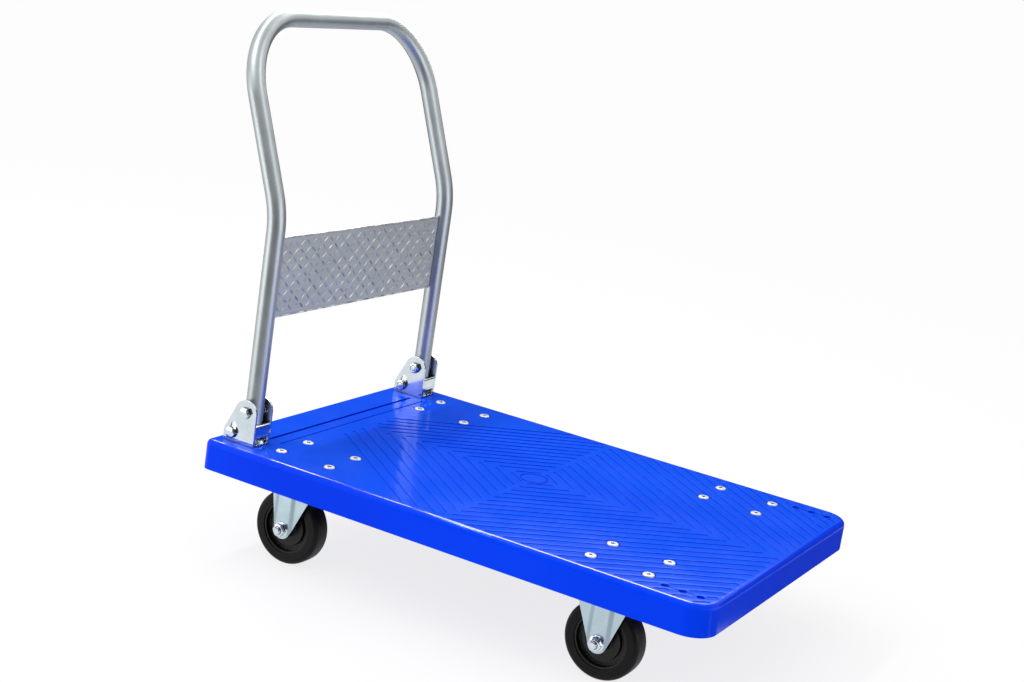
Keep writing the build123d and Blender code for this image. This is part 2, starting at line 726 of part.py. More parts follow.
for side_name, side in sides:
    middle_y = side * caster_y

    with BuildPart() as rigid_fork:
        with Locations((0, middle_y, 0)):
            add(rigid_form.part)
    rigid_fork.part.label = f"rigid_fork_{side_name}"
    export_step(rigid_fork.part, f"parts/rigid_fork_{side_name}.step")

    with BuildPart() as swivel_plate:
        with Locations((0, middle_y, 0)):
            add(plate_form.part)
    swivel_plate.part.label = f"swivel_plate_{side_name}"
    export_step(swivel_plate.part, f"parts/swivel_plate_{side_name}.step")

    with BuildPart() as swivel_fork:
        with Locations((0, middle_y, 0)):
            add(swivel_form.part)
    swivel_fork.part.label = f"swivel_fork_{side_name}"
    export_step(swivel_fork.part, f"parts/swivel_fork_{side_name}.step")

    with BuildPart() as swivel_balls:
        with Locations(level(upper_ball_z, rear_caster_x, middle_y)):
            with PolarLocations(upper_ball_circle, upper_ball_count):
                Sphere(ball_radius)
        with Locations(level(lower_ball_z, rear_caster_x, middle_y)):
            with PolarLocations(lower_ball_circle, lower_ball_count):
                Sphere(ball_radius)
    swivel_balls.part.label = f"swivel_balls_{side_name}"
    export_step(swivel_balls.part, f"parts/swivel_balls_{side_name}.step")

    with BuildPart() as kingpin:
        with BuildSketch(level(plate_top, rear_caster_x, middle_y)):
            Circle(kingpin_head_radius)
        extrude(amount=kingpin_head_height)
        fillet(kingpin.edges().group_by(Axis.Z)[-1], head_rounding)
        with BuildSketch(level(plate_top, rear_caster_x, middle_y)):
            Circle(kingpin_radius)
        extrude(amount=kingpin_nut_bottom - plate_top)
        chamfer(kingpin.edges().group_by(Axis.Z)[0], bolt_chamfer)
    kingpin.part.label = f"kingpin_{side_name}"
    export_step(kingpin.part, f"parts/kingpin_{side_name}.step")

    with BuildPart() as swivel_cup:
        with BuildSketch(level(cup_bottom, rear_caster_x, middle_y)):
            Circle(cup_radius)
            Circle(kingpin_radius + running_clearance, mode=Mode.SUBTRACT)
        extrude(amount=cup_thickness)
        with BuildSketch(upright(middle_y, rear_caster_x, lower_ball_z)):
            with Locations((lower_ball_circle, 0)):
                Circle(groove_radius)
        revolve(axis=upright_axis(rear_caster_x, middle_y), mode=Mode.SUBTRACT)
    swivel_cup.part.label = f"swivel_cup_{side_name}"
    export_step(swivel_cup.part, f"parts/swivel_cup_{side_name}.step")

    with BuildPart() as kingpin_nut:
        with Locations(level(kingpin_nut_bottom, rear_caster_x, middle_y)):
            add(hex_nut(kingpin_nut_flats, kingpin_nut_height, kingpin_radius + running_clearance))
    kingpin_nut.part.label = f"kingpin_nut_{side_name}"
    export_step(kingpin_nut.part, f"parts/kingpin_nut_{side_name}.step")

# Wheels on their axles
rim_radius = wheel_radius - tyre_thickness
bush_inner = sleeve_radius + running_clearance
bush_outer = bush_inner + bush_wall
boss_radius = bush_outer + boss_wall
web_outer = rim_radius - rim_wall - hub_slope
disc_radius = web_outer - web_depth - hub_slope
tyre_half_width = tyre_width / 2
axle_shank = 2 * fork_outer + axle_nut_height + axle_end

for end_name, axle_x in [("front", front_axle_x), ("rear", rear_axle_x)]:
    for side_name, side in sides:
        wheel_name = f"{end_name}_{side_name}"
        middle_y = side * caster_y
        spin_axis = axle_axis(axle_x, axle_height)

        with BuildPart() as tyre:
            with BuildSketch(lengthways(axle_x, middle_y, axle_height)) as tyre_section:
                with BuildLine():
                    Polyline(
                        (tyre_half_width, wheel_radius - tyre_crown),
                        (tyre_half_width, rim_radius),
                        (-tyre_half_width, rim_radius),
                        (-tyre_half_width, wheel_radius - tyre_crown),
                    )
                    ThreePointArc(
                        (-tyre_half_width, wheel_radius - tyre_crown),
                        (0, wheel_radius),
                        (tyre_half_width, wheel_radius - tyre_crown),
                    )
                make_face()
                fillet(tyre_section.vertices().group_by(Axis.Y)[-1], tyre_shoulder)
            revolve(axis=spin_axis)
        tyre.part.label = f"tyre_{wheel_name}"
        export_step(tyre.part, f"parts/tyre_{wheel_name}.step")

        with BuildPart() as hub:
            with BuildSketch(lengthways(axle_x, middle_y, axle_height)):
                with BuildLine():
                    Polyline(
                        (0, bush_outer),
                        (boss_half_width, bush_outer),
                        (boss_half_width, boss_radius),
                        (disc_half_width, boss_radius + hub_slope),
                        (disc_half_width, disc_radius),
                        (web_half_width, disc_radius + hub_slope),
                        (web_half_width, web_outer),
                        (rim_half_width, web_outer + hub_slope),
                        (rim_half_width, rim_radius),
                        (0, rim_radius),
                        close=True,
                    )
                make_face()
                mirror(about=Plane.YZ)
            revolve(axis=spin_axis)
        hub.part.label = f"hub_{wheel_name}"
        export_step(hub.part, f"parts/hub_{wheel_name}.step")

        with BuildPart() as bush:
            with BuildSketch(upright(middle_y, axle_x, axle_height)):
                Circle(bush_outer)
                Circle(bush_inner, mode=Mode.SUBTRACT)
            extrude(amount=boss_half_width, both=True)
        bush.part.label = f"bush_{wheel_name}"
        export_step(bush.part, f"parts/bush_{wheel_name}.step")

        with BuildPart() as axle_sleeve:
            with BuildSketch(upright(middle_y, axle_x, axle_height)):
                Circle(sleeve_radius)
                Circle(axle_radius + running_clearance, mode=Mode.SUBTRACT)
            extrude(amount=fork_panel_inner, both=True)
        axle_sleeve.part.label = f"axle_sleeve_{wheel_name}"
        export_step(axle_sleeve.part, f"parts/axle_sleeve_{wheel_name}.step")

        with BuildPart() as axle_bolt:
            with Locations(facing(-side, axle_x, middle_y - side * fork_outer, axle_height)):
                add(hex_bolt(axle_head_flats, axle_head_height, axle_radius, axle_shank))
        axle_bolt.part.label = f"axle_bolt_{wheel_name}"
        export_step(axle_bolt.part, f"parts/axle_bolt_{wheel_name}.step")

        with BuildPart() as axle_nut:
            with Locations(facing(side, axle_x, middle_y + side * fork_outer, axle_height)):
                add(hex_nut(axle_nut_flats, axle_nut_height, axle_radius + running_clearance))
            with BuildSketch(facing(side, axle_x, middle_y + side * fork_outer, axle_height)):
                Circle(axle_nut_flange_radius)
                Circle(axle_radius + running_clearance, mode=Mode.SUBTRACT)
            extrude(amount=axle_nut_flange)
        axle_nut.part.label = f"axle_nut_{wheel_name}"
        export_step(axle_nut.part, f"parts/axle_nut_{wheel_name}.step")
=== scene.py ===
import json
from math import acos, atan2, cos, hypot, pi, radians, sin, sqrt, tan

import bmesh
import bpy
from mathutils import Matrix, Vector


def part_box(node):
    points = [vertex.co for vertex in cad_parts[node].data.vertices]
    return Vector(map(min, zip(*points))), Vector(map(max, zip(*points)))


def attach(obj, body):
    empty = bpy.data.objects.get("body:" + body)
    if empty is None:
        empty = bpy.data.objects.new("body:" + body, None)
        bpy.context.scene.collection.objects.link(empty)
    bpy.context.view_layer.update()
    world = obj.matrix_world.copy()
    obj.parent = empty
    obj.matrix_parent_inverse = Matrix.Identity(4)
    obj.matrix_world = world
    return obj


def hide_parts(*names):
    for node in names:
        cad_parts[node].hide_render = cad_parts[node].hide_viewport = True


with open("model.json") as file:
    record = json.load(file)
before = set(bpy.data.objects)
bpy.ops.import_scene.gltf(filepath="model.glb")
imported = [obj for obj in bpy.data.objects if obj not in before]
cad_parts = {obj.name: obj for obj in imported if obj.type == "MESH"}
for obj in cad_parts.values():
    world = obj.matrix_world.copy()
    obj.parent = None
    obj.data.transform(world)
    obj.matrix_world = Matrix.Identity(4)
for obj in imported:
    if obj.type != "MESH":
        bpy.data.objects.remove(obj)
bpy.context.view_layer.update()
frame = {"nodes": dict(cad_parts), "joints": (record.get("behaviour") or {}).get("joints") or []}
nodes = frame["nodes"]
scene = bpy.context.scene
scene.view_settings.view_transform = "Standard"

# Camera. A long lens stands ahead of the trolley on its right, a little above the handle, and leans so that
# the trolley's uprights tilt to the right in the picture.
PICTURE_WIDTH = 1024
FOCAL_PIXELS = 1783.1
SENSOR = 36.0
CAMERA_SIGHT = 2000
CAMERA_AHEAD = 1.2461
CAMERA_ASIDE = -2.5101
CAMERA_ABOVE_DECK = 0.8907
CAMERA_TURN = radians(27.835)
CAMERA_DIP = radians(13.385)
CAMERA_LEAN = radians(8.747)

deck_low, deck_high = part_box("deck")
deck_middle_x = (deck_low.x + deck_high.x) / 2
deck_top = deck_high.z

camera_data = bpy.data.cameras.new("camera")
camera_data.sensor_width = SENSOR
camera_data.lens = FOCAL_PIXELS * SENSOR / PICTURE_WIDTH
camera_data.clip_end = CAMERA_SIGHT
camera = bpy.data.objects.new("camera", camera_data)
stand = Matrix.Translation((deck_middle_x + CAMERA_AHEAD, CAMERA_ASIDE, deck_top + CAMERA_ABOVE_DECK))
turn = Matrix.Rotation(CAMERA_TURN, 4, "Z")
dip = Matrix.Rotation(pi / 2 - CAMERA_DIP, 4, "X")
lean = Matrix.Rotation(CAMERA_LEAN, 4, "Z")
camera.matrix_world = stand @ turn @ dip @ lean
scene.collection.objects.link(camera)
scene.camera = camera

# Deck. One tray of bright blue plastic, injection moulded in a polished mould with the grip grooves in its
# top. The skin sinks a little beside each groove, its gloss is uneven where the melt met, and the rims of the
# long sides are rubbed to a high gloss.
MM = 0.001
GROOVE_PITCH_X = 31 * MM
GROOVE_PITCH_Y = 26 * MM
GROOVE_SHADE = 9 * MM
RIM_WIDTH = 10 * MM
RIM_FADE = 1 * MM
DECK_EDGE = 0.3 * MM
FINE_ROUNDS = 2
EDGE_ANGLE = radians(35)
CLOUD_THIN, CLOUD_THICK = 0.3, 0.7
TOP_FACING = (0.97, 0.999)
RIM_FACING = (0.86, 0.96)
# Painted light and shade: on one plastic, the skirt's blues are painted darker as shade and the top's lighter
# as light.
SHADED_SKIRT_BLUES = ((0.0012, 0.036, 0.76), (0.0018, 0.048, 0.86))
LIT_TOP_BLUES = ((0.001, 0.078, 0.9), (0.002, 0.098, 0.98))
# Painted shade: the deep blue laid into the grooves and lash holes.
PAINTED_GROOVE_SHADE_BLUE = (0.0002, 0.004, 0.45)
SKIRT_ROUGHNESS = (0.08, 0.15)
GRIP_ROUGHNESS = 0.02


def new_finish(name):
    material = bpy.data.materials.new(name)
    material.use_nodes = True
    tree = material.node_tree
    return material, tree, tree.nodes["Principled BSDF"]


def feed(node, socket, source):
    node.id_data.links.new(source, node.inputs[socket])


def surface_place(tree, stretch=(1, 1, 1), shift=(0, 0, 0)):
    place = tree.nodes.new("ShaderNodeTexCoord")
    mapping = tree.nodes.new("ShaderNodeMapping")
    mapping.inputs["Scale"].default_value = stretch
    mapping.inputs["Location"].default_value = shift
    feed(mapping, "Vector", place.outputs["Object"])
    return mapping.outputs["Vector"]


def clouding(tree, scale, detail=4.0, stretch=(1, 1, 1)):
    noise = tree.nodes.new("ShaderNodeTexNoise")
    noise.inputs["Scale"].default_value = scale
    noise.inputs["Detail"].default_value = detail
    feed(noise, "Vector", surface_place(tree, stretch))
    return noise.outputs["Fac"]


def spread_over(tree, source, low, high, start=CLOUD_THIN, end=CLOUD_THICK):
    span = tree.nodes.new("ShaderNodeMapRange")
    span.inputs["From Min"].default_value = start
    span.inputs["From Max"].default_value = end
    span.inputs["To Min"].default_value = low
    span.inputs["To Max"].default_value = high
    feed(span, "Value", source)
    return span.outputs["Result"]


def share_of(tree, source, start, end):
    return spread_over(tree, source, 0.0, 1.0, start, end)


def shades(tree, source, colours, start=CLOUD_THIN, end=CLOUD_THICK):
    ramp = tree.nodes.new("ShaderNodeValToRGB")
    for mark, position, colour in zip(ramp.color_ramp.elements, (start, end), colours):
        mark.position = position
        mark.color = (*colour, 1)
    feed(ramp, "Fac", source)
    return ramp.outputs["Color"]


def combine(tree, operation, *parts):
    node = tree.nodes.new("ShaderNodeMath")
    node.operation = operation
    for socket, part in zip(node.inputs, parts):
        if isinstance(part, (int, float)):
            socket.default_value = part
        else:
            tree.links.new(part, socket)
    return node.outputs["Value"]


def blend_of(tree, share, first, second):
    blend = tree.nodes.new("ShaderNodeMix")
    blend.data_type = "RGBA"
    feed(blend, "Factor", share)
    for socket, colour in (("A", first), ("B", second)):
        if isinstance(colour, tuple):
            blend.inputs[socket].default_value = (*colour, 1)
        else:
            feed(blend, socket, colour)
    return blend.outputs["Result"]


def relief(tree, height, strength, depth, under=None):
    bump = tree.nodes.new("ShaderNodeBump")
    bump.inputs["Strength"].default_value = strength
    bump.inputs["Distance"].default_value = depth
    feed(bump, "Height", height)
    if under is not None:
        feed(bump, "Normal", under)
    return bump.outputs["Normal"]


# Open share round a point, from ambient occlusion; the finishes use it to paint shade into hollows, corners
# and recesses.
def painted_shade_openness(tree, reach, start, end, own_piece_only=False):
    shade = tree.nodes.new("ShaderNodeAmbientOcclusion")
    shade.samples = 8
    shade.only_local = own_piece_only
    shade.inputs["Distance"].default_value = reach
    return share_of(tree, shade.outputs["AO"], start, end)


def coat_node(node, material):
    piece = nodes[node]
    piece.data.materials.clear()
    piece.data.materials.append(material)


def break_edges(piece, width, rounds=3):
    joined = piece.modifiers.new("joined_corners", "WELD")
    joined.merge_threshold = 0.01 * MM
    rounded = piece.modifiers.new("broken_edges", "BEVEL")
    rounded.width = width
    rounded.segments = rounds
    rounded.limit_method = "ANGLE"
    rounded.angle_limit = EDGE_ANGLE
    rounded.miter_outer = "MITER_ARC"
    even = piece.modifiers.new("even_faces", "WEIGHTED_NORMAL")
    even.weight = 80


blue_plastic, tree, shader = new_finish("blue_deck_plastic")
facing = tree.nodes.new("ShaderNodeSeparateXYZ")
feed(facing, "Vector", tree.nodes.new("ShaderNodeNewGeometry").outputs["True Normal"])
top_face = share_of(tree, facing.outputs["Z"], *TOP_FACING)
melt_flow = clouding(tree, scale=2.6, detail=3.0, stretch=(1, 2.2, 1))
# Painted light and shade: upward faces take the lighter top blues and the sides take the darker skirt blues.
shaded_skirt_blue = shades(tree, melt_flow, SHADED_SKIRT_BLUES)
lit_top_blue = shades(tree, melt_flow, LIT_TOP_BLUES)
lit_top_shaded_skirt_blue = blend_of(tree, top_face, shaded_skirt_blue, lit_top_blue)
# Painted shade: occlusion darkens the grooves and lash holes towards the deep groove blue.
openness_for_painted_shade = painted_shade_openness(tree, GROOVE_SHADE, start=0.2, end=0.9, own_piece_only=True)
feed(shader, "Base Color", blend_of(tree, openness_for_painted_shade, PAINTED_GROOVE_SHADE_BLUE, lit_top_shaded_skirt_blue))
skirt_gloss = spread_over(tree, clouding(tree, scale=14.0, detail=5.0), *SKIRT_ROUGHNESS)
grip_gloss = combine(tree, "MULTIPLY", top_face, GRIP_ROUGHNESS)
feed(shader, "Roughness", combine(tree, "ADD", skirt_gloss, grip_gloss))
shader.inputs["Specular IOR Level"].default_value = 0.2
shader.inputs["Specular Tint"].default_value = (0.02, 0.25, 1.0, 1)

deck_place = tree.nodes.new("ShaderNodeSeparateXYZ")
feed(deck_place, "Vector", surface_place(tree, shift=(-deck_middle_x, 0, 0)))
from_middle = combine(tree, "ABSOLUTE", deck_place.outputs["X"])
from_centre_line = combine(tree, "ABSOLUTE", deck_place.outputs["Y"])
rim_start = deck_high.y - RIM_WIDTH
long_rim = share_of(tree, from_centre_line, rim_start, rim_start + RIM_FADE)
rim_top = share_of(tree, facing.outputs["Z"], *RIM_FACING)
feed(shader, "Coat Weight", combine(tree, "MULTIPLY", long_rim, rim_top))
shader.inputs["Coat Roughness"].default_value = 0.06

steps_along = combine(tree, "DIVIDE", from_middle, GROOVE_PITCH_X)
steps_aside = combine(tree, "DIVIDE", from_centre_line, GROOVE_PITCH_Y)
groove_turns = combine(tree, "MULTIPLY", combine(tree, "ADD", steps_along, steps_aside), 2 * pi)
sink_wave = combine(tree, "MULTIPLY", combine(tree, "COSINE", groove_turns), top_face)
sink_marks = relief(tree, sink_wave, strength=0.1, depth=0.5 * MM)
ripple = clouding(tree, scale=30.0, detail=2.0)
rippled_skin = relief(tree, ripple, strength=0.04, depth=1.2 * MM, under=sink_marks)
mould_grain = clouding(tree, scale=700.0, detail=2.0)
feed(shader, "Normal", relief(tree, mould_grain, strength=0.03, depth=0.2 * MM, under=rippled_skin))
coat_node("deck", blue_plastic)
break_edges(nodes["deck"], DECK_EDGE, FINE_ROUNDS)

# Front casters. Each rigid fork is pressed from one sheet: a top plate, and two legs whose middle panel is
# pushed outward with soft creases so that the thin sheet stays stiff. The zinc on it is satin; its creases
# are painted darker as shade, its edges carry a painted highlight, and painted shade darkens it beside other
# parts.
FORK_SHEET = 3 * MM
FORK_FOOT = 16 * MM
FOOT_ROWS = 20
FOOT_STEP = radians(6)
LEG_ROWS = 18
PANEL_FLAT = 11.5 * MM
PANEL_CREASE = 9 * MM
PANEL_STEP = 2.2 * MM
FLAT_STEPS = 6
CREASE_STEPS = 8
RIGID_TOP_REAR = 57 * MM
RIGID_TOP_FRONT = 50 * MM
PLATE_SHEET = 3 * MM
PLATE_CORNER = 8 * MM
CORNER_STEPS = 8
FORK_EDGE = 1.2 * MM
FORK_SHADE = 12 * MM
SAME_POINT = 0.002 * MM
SHARP_ANGLE = radians(32)
SATIN_ZINC = ((0.43, 0.55, 0.62), (0.54, 0.67, 0.73))
# Painted shade: the darker zinc laid on the sloping creases.
CREASE_SHADE_ZINC = (0.24, 0.31, 0.37)
CREASE_SHADE_SHARE = 0.65
# Painted highlight: the pale zinc laid along the fork's edges.
FORK_EDGE_HIGHLIGHT_ZINC = (0.9, 0.93, 0.95)
# Painted shade: the dark laid on the fork in corners and beside other parts.
PAINTED_FORK_SHADE_ZINC = (0.05, 0.06, 0.08)
ZINC_LINE_DEPTH = 0.1 * MM
ZINC_LINE_STRENGTH = 0.03

sleeve_low, sleeve_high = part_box("axle_sleeve_front_left")
fork_outer = (sleeve_high.y - sleeve_low.y) / 2 + FORK_SHEET
joint_place = {joint["name"]: Vector(joint["pos_m"]) for joint in frame["joints"] if "pos_m" in joint}


# Rounded normals from a bevel, and a share along edges that the finishes use to paint highlights on.
def soft_edges(tree, radius):
    rounded = tree.nodes.new("ShaderNodeBevel")
    rounded.samples = 6
    rounded.inputs["Radius"].default_value = radius
    flat = tree.nodes.new("ShaderNodeNewGeometry")
    agree = tree.nodes.new("ShaderNodeVectorMath")
    agree.operation = "DOT_PRODUCT"
    tree.links.new(rounded.outputs["Normal"], agree.inputs[0])
    tree.links.new(flat.outputs["True Normal"], agree.inputs[1])
    painted_edge_highlight = spread_over(tree, agree.outputs["Value"], 1.0, 0.0, start=0.8, end=0.985)
    return rounded.outputs["Normal"], painted_edge_highlight


pressed_zinc, tree, shader = new_finish("pressed_zinc")
shader.inputs["Metallic"].default_value = 1.0
bath_clouds = clouding(tree, scale=30.0, detail=5.0)
slope = tree.nodes.new("ShaderNodeSeparateXYZ")
feed(slope, "Vector", tree.nodes.new("ShaderNodeTexCoord").outputs["Normal"])
sideways = combine(tree, "ABSOLUTE", slope.outputs["X"])
# Painted shade: faces that slope sideways in the creases are darkened, but the cut edges are not.
on_crease = spread_over(tree, sideways, 0.0, CREASE_SHADE_SHARE, start=0.03, end=0.26)
off_cut_edge = spread_over(tree, sideways, 1.0, 0.0, start=0.65, end=0.8)
painted_crease_shade = combine(tree, "MULTIPLY", on_crease, off_cut_edge)
plating = blend_of(tree, painted_crease_shade, shades(tree, bath_clouds, SATIN_ZINC), CREASE_SHADE_ZINC)
# Painted highlight: the edges found by the bevel are lightened.
edge_normal, painted_edge_highlight = soft_edges(tree, FORK_EDGE)
plating = blend_of(tree, painted_edge_highlight, plating, FORK_EDGE_HIGHLIGHT_ZINC)
# Painted shade: occlusion darkens the fork where other parts stand close.
openness_for_painted_shade = painted_shade_openness(tree, FORK_SHADE, start=0.1, end=0.6)
feed(shader, "Base Color", blend_of(tree, openness_for_painted_shade, PAINTED_FORK_SHADE_ZINC, plating))
feed(shader, "Roughness", spread_over(tree, bath_clouds, 0.24, 0.34))
sheet_lines = clouding(tree, scale=320.0, detail=3.0, stretch=(1, 1, 0.06))
feed(shader, "Normal", relief(tree, sheet_lines, ZINC_LINE_STRENGTH, ZINC_LINE_DEPTH, edge_normal))


def spaced(start, end, steps):
    return [start + (end - start) * step / steps for step in range(steps + 1)]


def leg_side(reach, rise, height):
    way = 1 if reach > 0 else -1
    heading = atan2(rise, reach) - way * acos(FORK_FOOT / hypot(reach, rise))
    touch_x, touch_z = FORK_FOOT * cos(heading), FORK_FOOT * sin(heading)
    if height <= touch_z:
        return way * sqrt(max(FORK_FOOT * FORK_FOOT - height * height, 0.0))
    return touch_x + (reach - touch_x) * (height - touch_z) / (rise - touch_z)


def crease_fall(across):
    share = min(max((abs(across) - PANEL_FLAT) / PANEL_CREASE, 0.0), 1.0)
    return PANEL_STEP * share * share * (3 - 2 * share)


def press_leg(mesh, axle, way, rear_reach, front_reach, top_height):
    rise = top_height - axle.z
    foot_heights = [-FORK_FOOT * cos(FOOT_STEP * row) for row in range(FOOT_ROWS)]
    heights = foot_heights + spaced(foot_heights[-1], rise, LEG_ROWS)[1:]
    crease_end = PANEL_FLAT + PANEL_CREASE
    panel = spaced(-crease_end, -PANEL_FLAT, CREASE_STEPS)
    panel += spaced(-PANEL_FLAT, PANEL_FLAT, FLAT_STEPS)[1:]
    panel += spaced(PANEL_FLAT, crease_end, CREASE_STEPS)[1:]
    rows = []
    for height in heights:
        rear = leg_side(-rear_reach, rise, height)
        front = leg_side(front_reach, rise, height)
        rear_flank = (min(rear, -crease_end) - crease_end) / 2
        front_flank = (max(front, crease_end) + crease_end) / 2
        row = []
        for x in (rear, rear_flank, *panel, front_flank, front):
            x = min(max(x, rear), front)
            depth = fork_outer - crease_fall(x)
            outer = mesh.verts.new(axle + Vector((x, way * depth, height)))
            inner = mesh.verts.new(axle + Vector((x, way * (depth - FORK_SHEET), height)))
            row.append((outer, inner))
        rows.append(row)
    for low, high in zip(rows, rows[1:]):
        for a, b, c, d in zip(low, low[1:], high[1:], high):
            mesh.faces.new((a[0], b[0], c[0], d[0]))
            mesh.faces.new((a[1], d[1], c[1], b[1]))
        mesh.faces.new((low[0][0], high[0][0], high[0][1], low[0][1]))
        mesh.faces.new((low[-1][0], low[-1][1], high[-1][1], high[-1][0]))
    for row in (rows[0], rows[-1]):
        for a, b in zip(row, row[1:]):
            mesh.faces.new((a[0], b[0], b[1], a[1]))


def join_loops(mesh, low, high):
    for step in range(len(low)):
        after = (step + 1) % len(low)
        mesh.faces.new((low[step], low[after], high[after], high[step]))


def lay_sheet(mesh, outline, bottom, top):
    low = [mesh.verts.new((x, y, bottom)) for x, y in outline]
    high = [mesh.verts.new((x, y, top)) for x, y in outline]
    mesh.faces.new(high)
    mesh.faces.new(low[::-1])
    join_loops(mesh, low, high)


def rounded_plate(low, high, corner):
    rear, front = low.x + corner, high.x - corner
    right, left = low.y + corner, high.y - corner
    outline = []
    for quarter, (x, y) in enumerate(((front, left), (rear, left), (rear, right), (front, right))):
        for angle in spaced(quarter * pi / 2, (quarter + 1) * pi / 2, CORNER_STEPS):
            outline.append((x + corner * cos(angle), y + corner * sin(angle)))
    return outline


def make_piece(name, mesh, body, slot, material, *stands_for):
    bmesh.ops.remove_doubles(mesh, verts=mesh.verts, dist=SAME_POINT)
    bmesh.ops.dissolve_degenerate(mesh, edges=mesh.edges, dist=SAME_POINT)
    bmesh.ops.recalc_face_normals(mesh, faces=mesh.faces)
    data = bpy.data.meshes.new(name)
    mesh.to_mesh(data)
    mesh.free()
    data.polygons.foreach_set("use_smooth", [True] * len(data.polygons))
    data.set_sharp_from_angle(angle=SHARP_ANGLE)
    data.materials.append(material)
    piece = bpy.data.objects.new(name, data)
    scene.collection.objects.link(piece)
    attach(piece, body)
    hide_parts(*stands_for)


for side in ("left", "right"):
    axle = joint_place[f"front_{side}_roll"]
    low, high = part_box(f"rigid_fork_{side}")
    plate_bottom = high.z - PLATE_SHEET
    mesh = bmesh.new()
    for way in (1, -1):
        press_leg(mesh, axle, way, RIGID_TOP_REAR, RIGID_TOP_FRONT, plate_bottom)
    lay_sheet(mesh, rounded_plate(low, high, PLATE_CORNER), plate_bottom, high.z)
    fork_name = f"pressed_fork_front_{side}"
    make_piece(fork_name, mesh, "frame", "zinc_steel", pressed_zinc, f"rigid_fork_{side}")

# Rear casters. The swivel fork hangs below its ball track on a kingpin; its crown is a round disc that runs
# out into the square heads of the two legs, which sweep back to the trailing axle. Track, cup, pin and nut
# are steel in bright zinc, bluish and faintly clouded by the bath, and the balls are polished and oiled.
SWIVEL_TOP_REAR = 64 * MM
SWIVEL_TOP_FRONT = 20 * MM
SWIVEL_TRAIL = 34 * MM
CROWN_RADIUS = 36 * MM
CROWN_SHEET = 4 * MM
CROWN_STEPS = 120
TINY = 1e-9
BRIGHT_EDGE = 0.7 * MM
INSIDE_SHADE = 16 * MM
CORNER_SHADE = 4 * MM
BRIGHT_ZINC = ((0.56, 0.63, 0.69), (0.68, 0.74, 0.78))
# Painted highlight: the pale zinc laid along edges.
EDGE_HIGHLIGHT_ZINC = (0.86, 0.89, 0.92)
SHADED_ZINC = (0.012, 0.045, 0.14)
BALL_STEELS = ((0.46, 0.46, 0.45), (0.56, 0.56, 0.55))

bright_zinc, tree, shader = new_finish("bright_zinc")
shader.inputs["Metallic"].default_value = 1.0
bath_clouds = clouding(tree, scale=45.0, detail=5.0)
# Painted highlight on the edges, and painted shade from occlusion inside boxes and tight corners.
edge_normal, painted_edge_highlight = soft_edges(tree, BRIGHT_EDGE)
plating = blend_of(tree, painted_edge_highlight, shades(tree, bath_clouds, BRIGHT_ZINC), EDGE_HIGHLIGHT_ZINC)
out_of_box = painted_shade_openness(tree, INSIDE_SHADE, start=0.2, end=0.6)
out_of_corner = painted_shade_openness(tree, CORNER_SHADE, start=0.4, end=0.8)
openness_for_painted_shade = combine(tree, "MULTIPLY", out_of_box, out_of_corner)
feed(shader, "Base Color", blend_of(tree, openness_for_painted_shade, SHADED_ZINC, plating))
feed(shader, "Roughness", spread_over(tree, bath_clouds, 0.06, 0.13))
sheet_lines = clouding(tree, scale=320.0, detail=3.0, stretch=(0.06, 1, 1))
feed(shader, "Normal", relief(tree, sheet_lines, ZINC_LINE_STRENGTH, ZINC_LINE_DEPTH, edge_normal))

polished_balls, tree, shader = new_finish("polished_bearing_steel")
shader.inputs["Metallic"].default_value = 1.0
oil_film = clouding(tree, scale=260.0, detail=3.0)
feed(shader, "Base Color", shades(tree, oil_film, BALL_STEELS))
feed(shader, "Roughness", spread_over(tree, oil_film, 0.06, 0.14))

for side in ("left", "right"):
    kingpin = joint_place[f"rear_{side}_swivel"]
    axle = joint_place[f"rear_{side}_roll"]
    crown_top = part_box(f"swivel_fork_{side}")[1].z
    crown_bottom = crown_top - CROWN_SHEET
    leg_rear, leg_front = SWIVEL_TOP_REAR - SWIVEL_TRAIL, SWIVEL_TOP_FRONT + SWIVEL_TRAIL
    mesh = bmesh.new()
    for way in (1, -1):
        press_leg(mesh, axle, way, leg_rear, leg_front, crown_bottom)
    crown = []
    for step in range(CROWN_STEPS):
        angle = 2 * pi * step / CROWN_STEPS
        along, across = cos(angle), sin(angle)
        end_reach = (SWIVEL_TOP_FRONT if along > 0 else SWIVEL_TOP_REAR) / max(abs(along), TINY)
        square_reach = min(end_reach, fork_outer / max(abs(across), TINY))
        reach = max(CROWN_RADIUS, square_reach)
        crown.append((kingpin.x + reach * along, kingpin.y + reach * across))
    lay_sheet(mesh, crown, crown_bottom, crown_top)
    fork_name = f"pressed_fork_rear_{side}"
    make_piece(fork_name, mesh, f"swivel_{side}", "zinc_steel", pressed_zinc, f"swivel_fork_{side}")
    for part in ("swivel_plate", "kingpin", "swivel_cup", "kingpin_nut"):
        coat_node(f"{part}_{side}", bright_zinc)
    coat_node(f"swivel_balls_{side}", polished_balls)

# Wheels. A solid black rubber tyre is moulded round a black plastic hub, and the hub turns with its nylon
# bush on a steel sleeve. The tyre's skin is satin with a faint bloom, and the hub's edges carry a painted
# grey highlight.
TYRE_EDGE = 0.8 * MM
HUB_EDGE = 0.8 * MM
RUBBER_BLACKS = ((0.0028, 0.0028, 0.003), (0.005, 0.005, 0.0053))
HUB_BLACKS = ((0.003, 0.003, 0.0033), (0.0055, 0.0055, 0.006))
# Painted highlight: the grey laid along the hub's edges.
HUB_EDGE_HIGHLIGHT = (0.11, 0.11, 0.115)
NYLON_CREAMS = ((0.62, 0.6, 0.54), (0.7, 0.68, 0.62))

